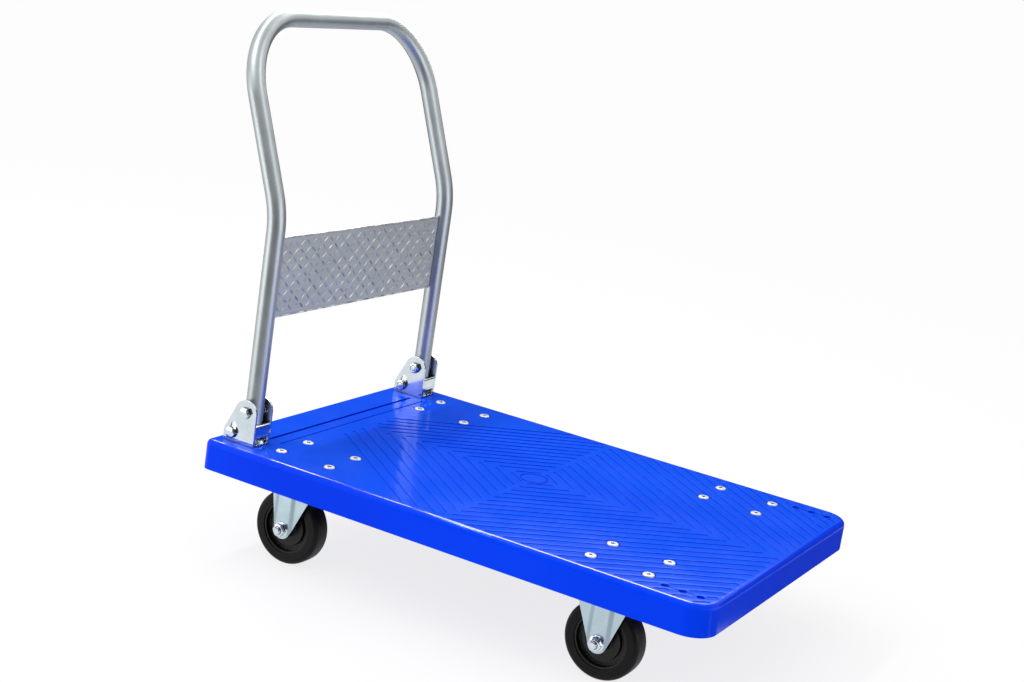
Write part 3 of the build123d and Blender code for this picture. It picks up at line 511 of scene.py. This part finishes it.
black_rubber, tree, shader = new_finish("black_rubber")
bloom = clouding(tree, scale=55.0, detail=5.0)
feed(shader, "Base Color", shades(tree, bloom, RUBBER_BLACKS))
feed(shader, "Roughness", spread_over(tree, bloom, 0.38, 0.52))
shader.inputs["Specular IOR Level"].default_value = 0.16
rubber_grain = clouding(tree, scale=1500.0, detail=2.0)
feed(shader, "Normal", relief(tree, rubber_grain, strength=0.08, depth=0.2 * MM))

black_hub, tree, shader = new_finish("black_hub_plastic")
hub_grain = clouding(tree, scale=900.0, detail=3.0)
# Painted highlight: the hub's edges are lightened to grey.
edge_normal, painted_edge_highlight = soft_edges(tree, HUB_EDGE)
feed(shader, "Base Color", blend_of(tree, painted_edge_highlight, shades(tree, hub_grain, HUB_BLACKS), HUB_EDGE_HIGHLIGHT))
feed(shader, "Roughness", spread_over(tree, hub_grain, 0.26, 0.4))
feed(shader, "Normal", relief(tree, hub_grain, strength=0.1, depth=0.1 * MM, under=edge_normal))
shader.inputs["Specular IOR Level"].default_value = 0.3

pale_nylon, tree, shader = new_finish("pale_nylon")
nylon_haze = clouding(tree, scale=300.0, detail=3.0)
feed(shader, "Base Color", shades(tree, nylon_haze, NYLON_CREAMS))
feed(shader, "Roughness", spread_over(tree, nylon_haze, 0.4, 0.55))

for end in ("front", "rear"):
    for side in ("left", "right"):
        coat_node(f"tyre_{end}_{side}", black_rubber)
        coat_node(f"hub_{end}_{side}", black_hub)
        coat_node(f"bush_{end}_{side}", pale_nylon)
        coat_node(f"axle_sleeve_{end}_{side}", bright_zinc)
        break_edges(nodes[f"tyre_{end}_{side}"], TYRE_EDGE)

# Axle bolts. A hexagon bolt passes through the fork and the sleeve and ends in a flanged nut on the outside;
# the nut's top is turned to a cone, and the bolt's rolled thread stands out of it.
AXLE_RADIUS = 6 * MM
AXLE_HEAD = 7.5 * MM
AXLE_HEX = 19 * MM
AXLE_NUT = 10 * MM
AXLE_FLANGE = 2 * MM
AXLE_FLANGE_RADIUS = 13 * MM
AXLE_PITCH = 1.75 * MM
AXLE_THREAD_IN_NUT = 0.55
SHANK_IN_NUT = 0.6
SHANK_STEPS = 40
HEX_SIDE = radians(60)
HEX_STEPS = 10
HEX_CONE = tan(radians(30))
HEX_CROWN = 0.475
NUT_MOUTH, NUT_THROAT, NUT_SINK = 1.12, 0.98, 0.14
FLANGE_FOOT = 0.49
THREAD_STEPS = 24
THREAD_DEPTH = 0.54
THREAD_PROFILE = ((0.0, 1.0), (0.12, 1.0), (0.44, 0.0), (0.56, 0.0), (0.88, 1.0))
THREAD_RUN_OUT = 1.2
TIP_BEVEL = 0.12
TIP_FACE = 0.72


def hex_ring(flats):
    ring = []
    for side in range(6):
        for step in range(HEX_STEPS):
            off_flat = HEX_SIDE * (step / HEX_STEPS - 0.5)
            ring.append((HEX_SIDE * (side + 0.5) + off_flat, flats / 2 / cos(off_flat)))
    return ring


def add_rings(mesh, place, rings, close_bottom=True):
    layers = []
    for ring in rings:
        layers.append([mesh.verts.new(place @ Vector((r * cos(a), r * sin(a), z))) for a, r, z in ring])
    for low, high in zip(layers, layers[1:]):
        join_loops(mesh, low, high)
    if close_bottom:
        mesh.faces.new(layers[0][::-1])
    mesh.faces.new(layers[-1])


def add_hexagon(mesh, place, flats, height, bottom=0.0, bore=0.0):
    crown = HEX_CROWN * flats
    sides = hex_ring(flats)
    rings = [
        [(a, min(r, crown), bottom) for a, r in sides],
        [(a, r, bottom + (r - crown) * HEX_CONE / 2) for a, r in sides],
        [(a, r, height - (r - crown) * HEX_CONE) for a, r in sides],
        [(a, crown, height) for a, r in sides],
    ]
    if bore:
        rings.append([(a, bore * NUT_MOUTH, height) for a, r in sides])
        rings.append([(a, bore * NUT_THROAT, height - bore * NUT_SINK) for a, r in sides])
    add_rings(mesh, place, rings)


def add_flange(mesh, place, radius, thickness, hex_flats):
    angles = [angle for angle, reach in hex_ring(hex_flats)]
    outline = (
        (radius, 0.0),
        (radius, 0.45 * thickness),
        (radius - 0.4 * thickness, 0.8 * thickness),
        (FLANGE_FOOT * hex_flats, 1.5 * thickness),
    )
    add_rings(mesh, place, [[(angle, reach, height) for angle in angles] for reach, height in outline])


def add_thread(mesh, place, radius, start, end, pitch):
    depth = THREAD_DEPTH * pitch
    last_height = end - TIP_BEVEL * pitch
    angles = spaced(0.0, 2 * pi, THREAD_STEPS)
    turns = int((end - start) / pitch) + 1
    layers = []
    for row in range(turns * len(THREAD_PROFILE) + 1):
        turn, mark = divmod(row, len(THREAD_PROFILE))
        share, fall = THREAD_PROFILE[mark]
        layer = []
        for step, angle in enumerate(angles):
            climb = turn - 1 + share + step / THREAD_STEPS
            height = min(max(start + climb * pitch, start), last_height)
            run_out = max(0.0, 1 - (end - height) / (THREAD_RUN_OUT * pitch))
            reach = radius - max(fall, run_out) * depth
            layer.append(mesh.verts.new(place @ Vector((reach * cos(angle), reach * sin(angle), height))))
        layers.append(layer)
    for low, high in zip(layers, layers[1:]):
        for step in range(THREAD_STEPS):
            mesh.faces.new((low[step], low[step + 1], high[step + 1], high[step]))
    root = radius - depth
    tip = [(angle, root, last_height) for angle in angles[:-1]]
    face = [(angle, TIP_FACE * root, end) for angle in angles[:-1]]
    add_rings(mesh, place, [tip, face], close_bottom=False)


def add_shank(mesh, place, radius, start, end):
    angles = spaced(0.0, 2 * pi, SHANK_STEPS)[:-1]
    add_rings(mesh, place, [[(angle, radius, height) for angle in angles] for height in (start, end)])


def across_place(point, outward):
    return Matrix.Translation(point) @ Matrix.Rotation(-outward * pi / 2, 4, "X")


for end in ("front", "rear"):
    for side, outward in (("left", 1), ("right", -1)):
        body = "frame" if end == "front" else f"swivel_{side}"
        axle = joint_place[f"{end}_{side}_roll"]
        low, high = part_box(f"axle_bolt_{end}_{side}")
        bolt_tip = (high.y if outward > 0 else low.y) - axle.y
        fork_face = Vector((0, outward * fork_outer, 0))
        nut_place = across_place(axle + fork_face, outward)
        mesh = bmesh.new()
        add_hexagon(mesh, nut_place, AXLE_HEX, AXLE_NUT, AXLE_FLANGE / 2, AXLE_RADIUS)
        add_flange(mesh, nut_place, AXLE_FLANGE_RADIUS, AXLE_FLANGE, AXLE_HEX)
        nut_name = f"flanged_nut_{end}_{side}"
        make_piece(nut_name, mesh, body, "zinc_steel", bright_zinc, f"axle_nut_{end}_{side}")
        mesh = bmesh.new()
        add_hexagon(mesh, across_place(axle - fork_face, -outward), AXLE_HEX, AXLE_HEAD)
        add_shank(mesh, nut_place, AXLE_RADIUS, -2 * fork_outer, SHANK_IN_NUT * AXLE_NUT)
        thread_start, thread_end = AXLE_THREAD_IN_NUT * AXLE_NUT, abs(bolt_tip) - fork_outer
        add_thread(mesh, nut_place, AXLE_RADIUS, thread_start, thread_end, AXLE_PITCH)
        bolt_name = f"hexagon_axle_bolt_{end}_{side}"
        make_piece(bolt_name, mesh, body, "zinc_steel", bright_zinc, f"axle_bolt_{end}_{side}")

# Deck bolts. Round-headed bolts with a cross recess hold the casters through the deck, and smaller ones hold
# the handle brackets. Their plating is left greyish, as it comes from the barrel, and their recess is painted
# dark with shade.
BOLT_EDGE = 0.3 * MM
RECESS_SHADE = 3 * MM
BARREL_ZINC = ((0.46, 0.49, 0.49), (0.58, 0.61, 0.61))
# Painted shade: the near-black laid into the cross recess.
PAINTED_RECESS_SHADE = (0.012, 0.014, 0.02)

barrel_zinc, tree, shader = new_finish("dull_barrel_zinc")
shader.inputs["Metallic"].default_value = 0.45
barrel_clouds = clouding(tree, scale=300.0, detail=4.0)
# Painted shade: occlusion darkens the recess.
openness_for_painted_shade = painted_shade_openness(tree, RECESS_SHADE, start=0.45, end=0.9, own_piece_only=True)
plating = shades(tree, barrel_clouds, BARREL_ZINC)
feed(shader, "Base Color", blend_of(tree, openness_for_painted_shade, PAINTED_RECESS_SHADE, plating))
feed(shader, "Roughness", spread_over(tree, barrel_clouds, 0.28, 0.42))
feed(shader, "Normal", relief(tree, barrel_clouds, strength=0.05, depth=0.1 * MM))
for name in ("caster_bolts", "caster_nuts", "bracket_bolts", "bracket_washers", "bracket_nuts"):
    coat_node(name, barrel_zinc)
    break_edges(nodes[name], BOLT_EDGE, FINE_ROUNDS)

# Handle brackets. Each is a folded box of zinc-plated sheet that stands on the deck: two tall ears with a
# slanted slot, a base, and a front wall with a window at its foot and a lip rolled back as the tube's stop.
BRACKET_SHEET = 3 * MM
BRACKET_HALF_WIDTH = 22 * MM
BRACKET_REAR = 39.5 * MM
EAR_RADIUS = 21 * MM
EAR_FOOT = 20 * MM
EAR_FRONT_STEPS, EAR_ARC_STEPS, EAR_SLOPE_STEPS, EAR_REAR_STEPS, EAR_FOOT_STEPS = 8, 28, 8, 4, 10
STOP_WALL = 35.5 * MM
LIP_REACH = 5.5 * MM
LIP_STEPS = 6
WINDOW_HEIGHT = 11 * MM
WINDOW_HALF = 16 * MM
SLOT_RADIUS = 5.3 * MM
SLOT_TRAVEL = 13.3 * MM
SLOT_TILT = radians(11.7)


def slot_rim(direction):
    along = direction.x * sin(SLOT_TILT) + direction.y * cos(SLOT_TILT)
    across = abs(direction.x * cos(SLOT_TILT) - direction.y * sin(SLOT_TILT))
    half = SLOT_TRAVEL / 2
    reach = SLOT_RADIUS / max(across, TINY)
    if abs(along) * reach > half:
        reach = abs(along) * half + sqrt((along * half) ** 2 - half * half + SLOT_RADIUS * SLOT_RADIUS)
    return direction * reach


def ear_outline(pivot_rise):
    front_foot = Vector((EAR_RADIUS, -pivot_rise))
    rear_foot = Vector((-BRACKET_REAR, -pivot_rise))
    corner = Vector((-BRACKET_REAR, EAR_FOOT - pivot_rise))
    arc_end = atan2(corner.y, corner.x) % (2 * pi) - acos(EAR_RADIUS / corner.length)
    arc = [EAR_RADIUS * Vector((cos(angle), sin(angle))) for angle in spaced(0.0, arc_end, EAR_ARC_STEPS)]
    points = spaced(front_foot, arc[0], EAR_FRONT_STEPS)[:-1] + arc
    points += spaced(arc[-1], corner, EAR_SLOPE_STEPS)[1:]
    points += spaced(corner, rear_foot, EAR_REAR_STEPS)[1:]
    points += spaced(rear_foot, front_foot, EAR_FOOT_STEPS)[1:-1]
    return points


def fold_ear(mesh, pivot, outline, slot, outer_y, inner_y):
    holes = [slot + slot_rim((point - slot).normalized()) for point in outline]
    loops = []
    for y in (outer_y, inner_y):
        for points in (outline, holes):
            loops.append([mesh.verts.new((pivot.x + point.x, y, pivot.z + point.y)) for point in points])
    outer_rim, outer_hole, inner_rim, inner_hole = loops
    join_loops(mesh, outer_rim, outer_hole)
    join_loops(mesh, outer_hole, inner_hole)
    join_loops(mesh, inner_hole, inner_rim)
    join_loops(mesh, inner_rim, outer_rim)


def frame_wall(mesh, front_x, back_x, wall, window):
    loops = []
    for x in (front_x, back_x):
        for low_y, high_y, low_z, high_z in (wall, window):
            corners = ((low_y, low_z), (high_y, low_z), (high_y, high_z), (low_y, high_z))
            loops.append([mesh.verts.new((x, y, z)) for y, z in corners])
    front, front_hole, back, back_hole = loops
    join_loops(mesh, front, front_hole)
    join_loops(mesh, front_hole, back_hole)
    join_loops(mesh, back_hole, back)
    join_loops(mesh, back, front)


def roll_lip(mesh, front_x, low_z, high_z, low_y, high_y):
    back_x, under_z = front_x - BRACKET_SHEET, high_z - BRACKET_SHEET
    bend = [(front_x, low_z)]
    for angle in spaced(0.0, pi / 2, LIP_STEPS):
        bend.append((back_x + BRACKET_SHEET * cos(angle), under_z + BRACKET_SHEET * sin(angle)))
    bend += [(front_x - LIP_REACH, high_z), (front_x - LIP_REACH, under_z)]
    bend += [(back_x, under_z), (back_x, low_z)]
    ends = [[mesh.verts.new((x, y, z)) for x, z in bend] for y in (low_y, high_y)]
    join_loops(mesh, *ends)
    for end in ends:
        mesh.faces.new(end)


fold_place = joint_place["handle_fold"]
for side in ("left", "right"):
    low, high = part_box(f"handle_bracket_{side}")
    middle_y = (low.y + high.y) / 2
    pivot = Vector((fold_place.x, middle_y, fold_place.z))
    lock_low, lock_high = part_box(f"lock_bolt_{side}")
    lock_middle = (lock_low + lock_high) / 2
    lock_rest = Vector((lock_middle.x - pivot.x, lock_middle.z - pivot.z))
    slot = lock_rest + SLOT_TRAVEL / 2 * Vector((sin(SLOT_TILT), cos(SLOT_TILT)))
    outline = ear_outline(pivot.z - low.z)
    mesh = bmesh.new()
    for way in (1, -1):
        outer_y = middle_y + way * BRACKET_HALF_WIDTH
        fold_ear(mesh, pivot, outline, slot, outer_y, outer_y - way * BRACKET_SHEET)
    inside = BRACKET_HALF_WIDTH - BRACKET_SHEET
    right_y, left_y = middle_y - inside, middle_y + inside
    front_x, rear_x = pivot.x + EAR_RADIUS, pivot.x - BRACKET_REAR
    wall_back = front_x - BRACKET_SHEET
    base_top = low.z + BRACKET_SHEET
    window_top = base_top + WINDOW_HEIGHT
    wall_middle = window_top + BRACKET_SHEET
    wall = (right_y, left_y, low.z, wall_middle)
    window = (middle_y - WINDOW_HALF, middle_y + WINDOW_HALF, base_top, window_top)
    frame_wall(mesh, front_x, wall_back, wall, window)
    roll_lip(mesh, front_x, wall_middle, low.z + STOP_WALL, right_y, left_y)
    base = [(rear_x, right_y), (wall_back, right_y), (wall_back, left_y), (rear_x, left_y)]
    lay_sheet(mesh, base, low.z, base_top)
    bracket_name = f"folded_bracket_{side}"
    make_piece(bracket_name, mesh, "frame", "zinc_steel", bright_zinc, f"handle_bracket_{side}")
    coat_node(f"pivot_spacers_{side}", bright_zinc)

# Pivot and lock bolts. The pivot bolt carries the tube between the ears, and the lock bolt slides in the
# slanted slot below it. Both are hexagon bolts with plain hexagon nuts on the inner side.
PIVOT_HEX = 17 * MM
PIVOT_RADIUS = 5 * MM
PIVOT_HEAD = 6.4 * MM
PIVOT_NUT = 8 * MM
PIVOT_PITCH = 1.5 * MM
PIVOT_THREAD_IN_NUT = 0.5

for side, outward in (("left", 1), ("right", -1)):
    for use, body in (("pivot", "frame"), ("lock", f"lock_{side}")):
        low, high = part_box(f"{use}_bolt_{side}")
        nut_low, nut_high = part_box(f"{use}_nut_{side}")
        middle = (low + high) / 2
        head_end, tip_end = (high.y, low.y) if outward > 0 else (low.y, high.y)
        seat = Vector((middle.x, head_end - outward * PIVOT_HEAD, middle.z))
        nut_seat = Vector((middle.x, nut_high.y if outward > 0 else nut_low.y, middle.z))
        head_place = across_place(seat, outward)
        nut_place = across_place(nut_seat, -outward)
        tip = abs(tip_end - nut_seat.y)
        grip = abs(tip_end - seat.y) - tip
        mesh = bmesh.new()
        add_hexagon(mesh, head_place, PIVOT_HEX, PIVOT_HEAD)
        add_shank(mesh, head_place, PIVOT_RADIUS, -grip - SHANK_IN_NUT * PIVOT_NUT, 0)
        add_thread(mesh, nut_place, PIVOT_RADIUS, PIVOT_THREAD_IN_NUT * PIVOT_NUT, tip, PIVOT_PITCH)
        bolt_name = f"hexagon_{use}_bolt_{side}"
        make_piece(bolt_name, mesh, body, "zinc_steel", bright_zinc, f"{use}_bolt_{side}")
        mesh = bmesh.new()
        add_hexagon(mesh, nut_place, PIVOT_HEX, PIVOT_NUT, 0.0, PIVOT_RADIUS)
        nut_name = f"hexagon_{use}_nut_{side}"
        make_piece(nut_name, mesh, body, "zinc_steel", bright_zinc, f"{use}_nut_{side}")

# Handle tube. One length of round steel tube, bent to a loop and sprayed with silver lacquer: satin, with a
# fine metal flake, and a gloss that the drawn steel below stretches a little along the tube.
TUBE_RADIUS = 15 * MM
TUBE_BORE = 13 * MM
TUBE_ROUNDS = 56
KINK_HEIGHT = 380 * MM
KINK_BEND = 180 * MM
TOP_BEND = 125 * MM
BEND_STEP = radians(3)
FEWEST_BEND_STEPS = 10
LACQUER_SILVERS = ((0.375, 0.41, 0.42), (0.435, 0.47, 0.48))

silver_lacquer, tree, shader = new_finish("silver_lacquer")
shader.inputs["Metallic"].default_value = 0.86
shader.inputs["Anisotropic"].default_value = 0.45
spray = clouding(tree, scale=22.0, detail=4.0)
feed(shader, "Base Color", shades(tree, spray, LACQUER_SILVERS))
feed(shader, "Roughness", spread_over(tree, spray, 0.38, 0.44))
drawn_along = tree.nodes.new("ShaderNodeTangent")
drawn_along.direction_type = "UV_MAP"
drawn_along.uv_map = "along_tube"
feed(shader, "Tangent", drawn_along.outputs["Tangent"])
flake = clouding(tree, scale=2600.0, detail=2.0)
feed(shader, "Normal", relief(tree, flake, strength=0.06, depth=0.1 * MM))


def bend_tube(corners, bends):
    line = [(corners[0], (corners[1] - corners[0]).normalized())]
    for before, corner, after, bend in zip(corners, corners[1:], corners[2:], bends):
        coming, going = (corner - before).normalized(), (after - corner).normalized()
        sweep = coming.angle(going)
        inward = (going - coming).normalized()
        centre = corner + inward * (bend / cos(sweep / 2))
        axis = coming.cross(going).normalized()
        first = corner - coming * (bend * tan(sweep / 2))
        for angle in spaced(0.0, sweep, max(FEWEST_BEND_STEPS, int(sweep / BEND_STEP))):
            swing = Matrix.Rotation(angle, 3, axis)
            line.append((centre + swing @ (first - centre), swing @ coming))
    line.append((corners[-1], (corners[-1] - corners[-2]).normalized()))
    return line


def skin_tube(mesh, line, radius):
    side = Vector((1, 0, 0))
    rings = []
    for place, heading in line:
        side = (side - heading * side.dot(heading)).normalized()
        lift = heading.cross(side)
        ring = []
        for angle in spaced(0.0, 2 * pi, TUBE_ROUNDS)[:-1]:
            ring.append(mesh.verts.new(place + radius * (cos(angle) * side + sin(angle) * lift)))
        rings.append(ring)
    along_tube = mesh.loops.layers.uv.get("along_tube") or mesh.loops.layers.uv.new("along_tube")
    for row, (low, high) in enumerate(zip(rings, rings[1:])):
        for step in range(TUBE_ROUNDS):
            after = (step + 1) % TUBE_ROUNDS
            face = mesh.faces.new((low[step], low[after], high[after], high[step]))
            for loop, (round_share, length_share) in zip(face.loops, ((0, 0), (1, 0), (1, 1), (0, 1))):
                loop[along_tube].uv = ((row + length_share) / len(rings), (step + round_share) / TUBE_ROUNDS)
    return rings


tube_low, tube_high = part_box("handle_tube")
leg_x, bar_x = fold_place.x, tube_low.x + TUBE_RADIUS
leg_y = tube_high.y - TUBE_RADIUS
kink_z, bar_z = deck_top + KINK_HEIGHT, tube_high.z - TUBE_RADIUS
corners = [
    Vector((leg_x, leg_y, tube_low.z)),
    Vector((leg_x, leg_y, kink_z)),
    Vector((bar_x, leg_y, bar_z)),
    Vector((bar_x, -leg_y, bar_z)),
    Vector((leg_x, -leg_y, kink_z)),
    Vector((leg_x, -leg_y, tube_low.z)),
]
line = bend_tube(corners, [KINK_BEND, TOP_BEND, TOP_BEND, KINK_BEND])
mesh = bmesh.new()
outside = skin_tube(mesh, line, TUBE_RADIUS)
inside = skin_tube(mesh, line, TUBE_BORE)
for end in (0, -1):
    join_loops(mesh, outside[end], inside[end])
make_piece("bent_handle_tube", mesh, "handle", "tube_steel", silver_lacquer, "handle_tube")

# Tread plate. A strip of rolled aluminium sheet fixed between the handle's legs, with raised bars that lie
# crosswise in turn and a bead along both long edges. Shade is painted into the corners beside the bars and
# the legs, and the bars are rubbed bright in places.
BAR_LENGTH = 14.5 * MM
BAR_WIDTH = 2.1 * MM
BAR_RISE = 1.1 * MM
BAR_PITCH_ACROSS = 16 * MM
BAR_PITCH_UP = 13.3 * MM
BAR_TILT = radians(40)
BAR_LEVELS = ((1.0, 0.0), (0.86, 0.5), (0.55, 0.86), (0.18, 1.0))
BAR_ROUNDS = 16
BAR_POINTING = 0.35
BAR_ROOT = 0.1 * MM
BARE_EDGE = 0.5 * MM
BEAD_HEIGHT = 2.6 * MM
BEAD_RISE = 1.1 * MM
BEAD_STEPS = 8
PLATE_EDGE = 0.3 * MM
PLATE_SHADE_REACH = 4 * MM
ROLLED_GREYS = ((0.51, 0.54, 0.505), (0.58, 0.61, 0.575))
# Painted shade: the dark laid in corners beside the bars and the legs.
PAINTED_CORNER_SHADE = (0.06, 0.07, 0.08)
RUBBED_GREYS = ((0.24, 0.245, 0.235), (0.88, 0.885, 0.86))
RUB_THIN, RUB_THICK = 0.35, 0.65

rolled_sheet, tree, shader = new_finish("rolled_tread_sheet")
shader.inputs["Metallic"].default_value = 0.6
roll_lines = clouding(tree, scale=240.0, detail=4.0, stretch=(1, 0.03, 1))
# Painted shade: occlusion darkens the sheet round the bars' feet and beside the legs.
openness_for_painted_shade = painted_shade_openness(tree, PLATE_SHADE_REACH, start=0.55, end=0.97)
feed(shader, "Base Color", blend_of(tree, openness_for_painted_shade, PAINTED_CORNER_SHADE, shades(tree, roll_lines, ROLLED_GREYS)))
feed(shader, "Roughness", spread_over(tree, roll_lines, 0.42, 0.52))
feed(shader, "Normal", relief(tree, roll_lines, strength=0.05, depth=0.1 * MM))
coat_node("tread_plate", rolled_sheet)
break_edges(nodes["tread_plate"], PLATE_EDGE, FINE_ROUNDS)

rubbed_bars, tree, shader = new_finish("rubbed_tread_bars")
shader.inputs["Metallic"].default_value = 0.65
rub = clouding(tree, scale=55.0, detail=4.0)
feed(shader, "Base Color", shades(tree, rub, RUBBED_GREYS, RUB_THIN, RUB_THICK))
feed(shader, "Roughness", spread_over(tree, rub, 0.25, 0.36))

plate_low, plate_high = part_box("tread_plate")
plate_middle = (plate_low + plate_high) / 2
plate_face = plate_high.x - BAR_ROOT


def raise_bar(mesh, middle_y, middle_z, tilt):
    levels = []
    for share, rise in BAR_LEVELS:
        level = []
        for angle in spaced(0.0, 2 * pi, BAR_ROUNDS)[:-1]:
            end = BAR_LENGTH / 2 * share * cos(angle)
            side = BAR_WIDTH / 2 * share * sin(angle) * (1 - BAR_POINTING * abs(cos(angle)))
            y = middle_y + end * cos(tilt) - side * sin(tilt)
            z = middle_z + end * sin(tilt) + side * cos(tilt)
            y = min(max(y, plate_low.y + BARE_EDGE), plate_high.y - BARE_EDGE)
            z = min(max(z, plate_low.z + BARE_EDGE), plate_high.z - BARE_EDGE)
            level.append(mesh.verts.new((plate_face + rise * BAR_RISE, y, z)))
        levels.append(level)
    for low, high in zip(levels, levels[1:]):
        join_loops(mesh, low, high)
    mesh.faces.new(levels[-1])


mesh = bmesh.new()
row_count = int((plate_high.z - plate_low.z - BAR_WIDTH) / BAR_PITCH_UP)
column_count = int((plate_high.y - plate_low.y - BAR_WIDTH) / BAR_PITCH_ACROSS)
for row in range(row_count):
    for column in range(column_count):
        bar_y = plate_middle.y + (column - (column_count - 1) / 2) * BAR_PITCH_ACROSS
        bar_z = plate_middle.z + (row - (row_count - 1) / 2) * BAR_PITCH_UP
        raise_bar(mesh, bar_y, bar_z, BAR_TILT if (row + column) % 2 else -BAR_TILT)
for edge_z, inward in ((plate_high.z, -1), (plate_low.z, 1)):
    bead = []
    for angle in spaced(0.0, pi, BEAD_STEPS):
        bead_z = edge_z + inward * BEAD_HEIGHT * (1 - cos(angle)) / 2
        bead.append((plate_face + BEAD_RISE * sin(angle), bead_z))
    ends = [[mesh.verts.new((x, y, z)) for x, z in bead] for y in (plate_low.y, plate_high.y)]
    for step in range(BEAD_STEPS):
        mesh.faces.new((ends[0][step], ends[0][step + 1], ends[1][step + 1], ends[1][step]))
make_piece("tread_bars", mesh, "handle", "tread_metal", rubbed_bars)

# Studio. A white floor that keeps the soft shadow, a white world, a broad soft sun over the trolley's right
# side and a long soft box overhead. More soft boxes and grey screens stand round the set, where only glossy
# faces see them.
FLOOR_HALF = 400.0
FLOOR_WHITE = (0.92, 0.92, 0.92, 1)
FLOOR_GLOW_SHARE = 0.8
WORLD_LIGHT, WORLD_SEEN = 0.7, 1.0
SCREEN_STEPS = 12
SCREEN_BLUE = 1.05
HANDLE_MIDDLE = (-0.36, 0.0, 0.5)

floor_corners = [(-1, -1), (1, -1), (1, 1), (-1, 1)]
floor_mesh = bpy.data.meshes.new("floor")
floor_mesh.from_pydata([(x * FLOOR_HALF, y * FLOOR_HALF, 0) for x, y in floor_corners], [], [(0, 1, 2, 3)])
floor = bpy.data.objects.new("floor", floor_mesh)
scene.collection.objects.link(floor)


def seen_directly(tree):
    path = tree.nodes.new("ShaderNodeLightPath")
    seen = combine(tree, "MAXIMUM", path.outputs["Is Camera Ray"], path.outputs["Is Glossy Ray"])
    return combine(tree, "MAXIMUM", seen, path.outputs["Is Transmission Ray"])


white_floor, tree, shader = new_finish("white_floor")
shader.inputs["Base Color"].default_value = FLOOR_WHITE
shader.inputs["Roughness"].default_value = 0.9
shader.inputs["Specular IOR Level"].default_value = 0.0
glow = tree.nodes.new("ShaderNodeEmission")
glow.inputs["Strength"].default_value = 1.0
lift = tree.nodes.new("ShaderNodeMixShader")
feed(lift, "Fac", combine(tree, "MULTIPLY", seen_directly(tree), FLOOR_GLOW_SHARE))
tree.links.new(shader.outputs["BSDF"], lift.inputs[1])
tree.links.new(glow.outputs["Emission"], lift.inputs[2])
feed(tree.nodes["Material Output"], "Surface", lift.outputs["Shader"])
floor_mesh.materials.append(white_floor)

world = bpy.data.worlds.new("studio")
scene.world = world
world.use_nodes = True
tree = world.node_tree
background = tree.nodes["Background"]
background.inputs["Color"].default_value = (1, 1, 1, 1)
feed(background, "Strength", spread_over(tree, seen_directly(tree), WORLD_LIGHT, WORLD_SEEN, 0.0, 1.0))


def aim(lamp, place, target):
    lamp.location = place
    lamp.rotation_euler = (Vector(target) - Vector(place)).to_track_quat("-Z", "Y").to_euler()
    scene.collection.objects.link(lamp)


def hang_box(name, place, target, width, height, watts, gloss_only):
    data = bpy.data.lights.new(name, "AREA")
    data.shape = "RECTANGLE"
    data.size, data.size_y = width, height
    data.energy = watts
    lamp = bpy.data.objects.new(name, data)
    aim(lamp, place, target)
    lamp.visible_camera = not gloss_only
    lamp.visible_diffuse = not gloss_only


def stand_screen(name, grey, start, end, profile):
    verts, faces = [], []
    rows = len(profile)
    for angle in spaced(radians(start), radians(end), SCREEN_STEPS):
        verts += [(reach * cos(angle), reach * sin(angle), height) for reach, height in profile]
    for step in range(SCREEN_STEPS):
        for row in range(rows - 1):
            first = step * rows + row
            faces.append((first, first + rows, first + rows + 1, first + 1))
    mesh = bpy.data.meshes.new(name)
    mesh.from_pydata(verts, [], faces)
    screen = bpy.data.objects.new(name, mesh)
    scene.collection.objects.link(screen)
    cloth, tree, shader = new_finish(name)
    shader.inputs["Base Color"].default_value = (grey, grey, grey * SCREEN_BLUE, 1)
    shader.inputs["Roughness"].default_value = 1.0
    shader.inputs["Specular IOR Level"].default_value = 0.0
    mesh.materials.append(cloth)
    screen.visible_camera = False
    screen.visible_diffuse = False
    screen.visible_shadow = False


sun_data = bpy.data.lights.new("broad_sun", "SUN")
sun_data.energy = 1.1
sun_data.angle = radians(50)
aim(bpy.data.objects.new("broad_sun", sun_data), (-1.2, -2.4, 3.0), (0, 0, 0))

hang_box("soft_box", (-1.3, -0.35, 2.9), (-0.3, -0.3, 0.2), 2.6, 0.14, watts=26, gloss_only=False)
hang_box("back_box", (-1.1, 1.9, 2.1), (0, -0.3, 0.2), 2.4, 1.2, watts=60, gloss_only=True)
hang_box("left_strip", (-1.45, -1.5, 0.32), HANDLE_MIDDLE, 1.2, 0.6, watts=6, gloss_only=True)
hang_box("front_strip", (1.5, -0.2, 0.55), HANDLE_MIDDLE, 1.3, 0.7, watts=7, gloss_only=True)
hang_box("plate_box", (0.98, 0.0, 1.97), HANDLE_MIDDLE, 0.7, 0.7, watts=5, gloss_only=True)

stand_screen("far_screen", 0.05, 40.0, 171.4, [(1.75, 0.02), (1.75, 1.0)])
stand_screen("near_screen", 0.1, -113.6, -13.6, [(0.85, 0.004), (1.75, 0.004), (1.75, 1.35)])
stand_screen("front_card", 0.05, -8.0, 61.4, [(0.62, 0.004), (1.2, 0.004)])
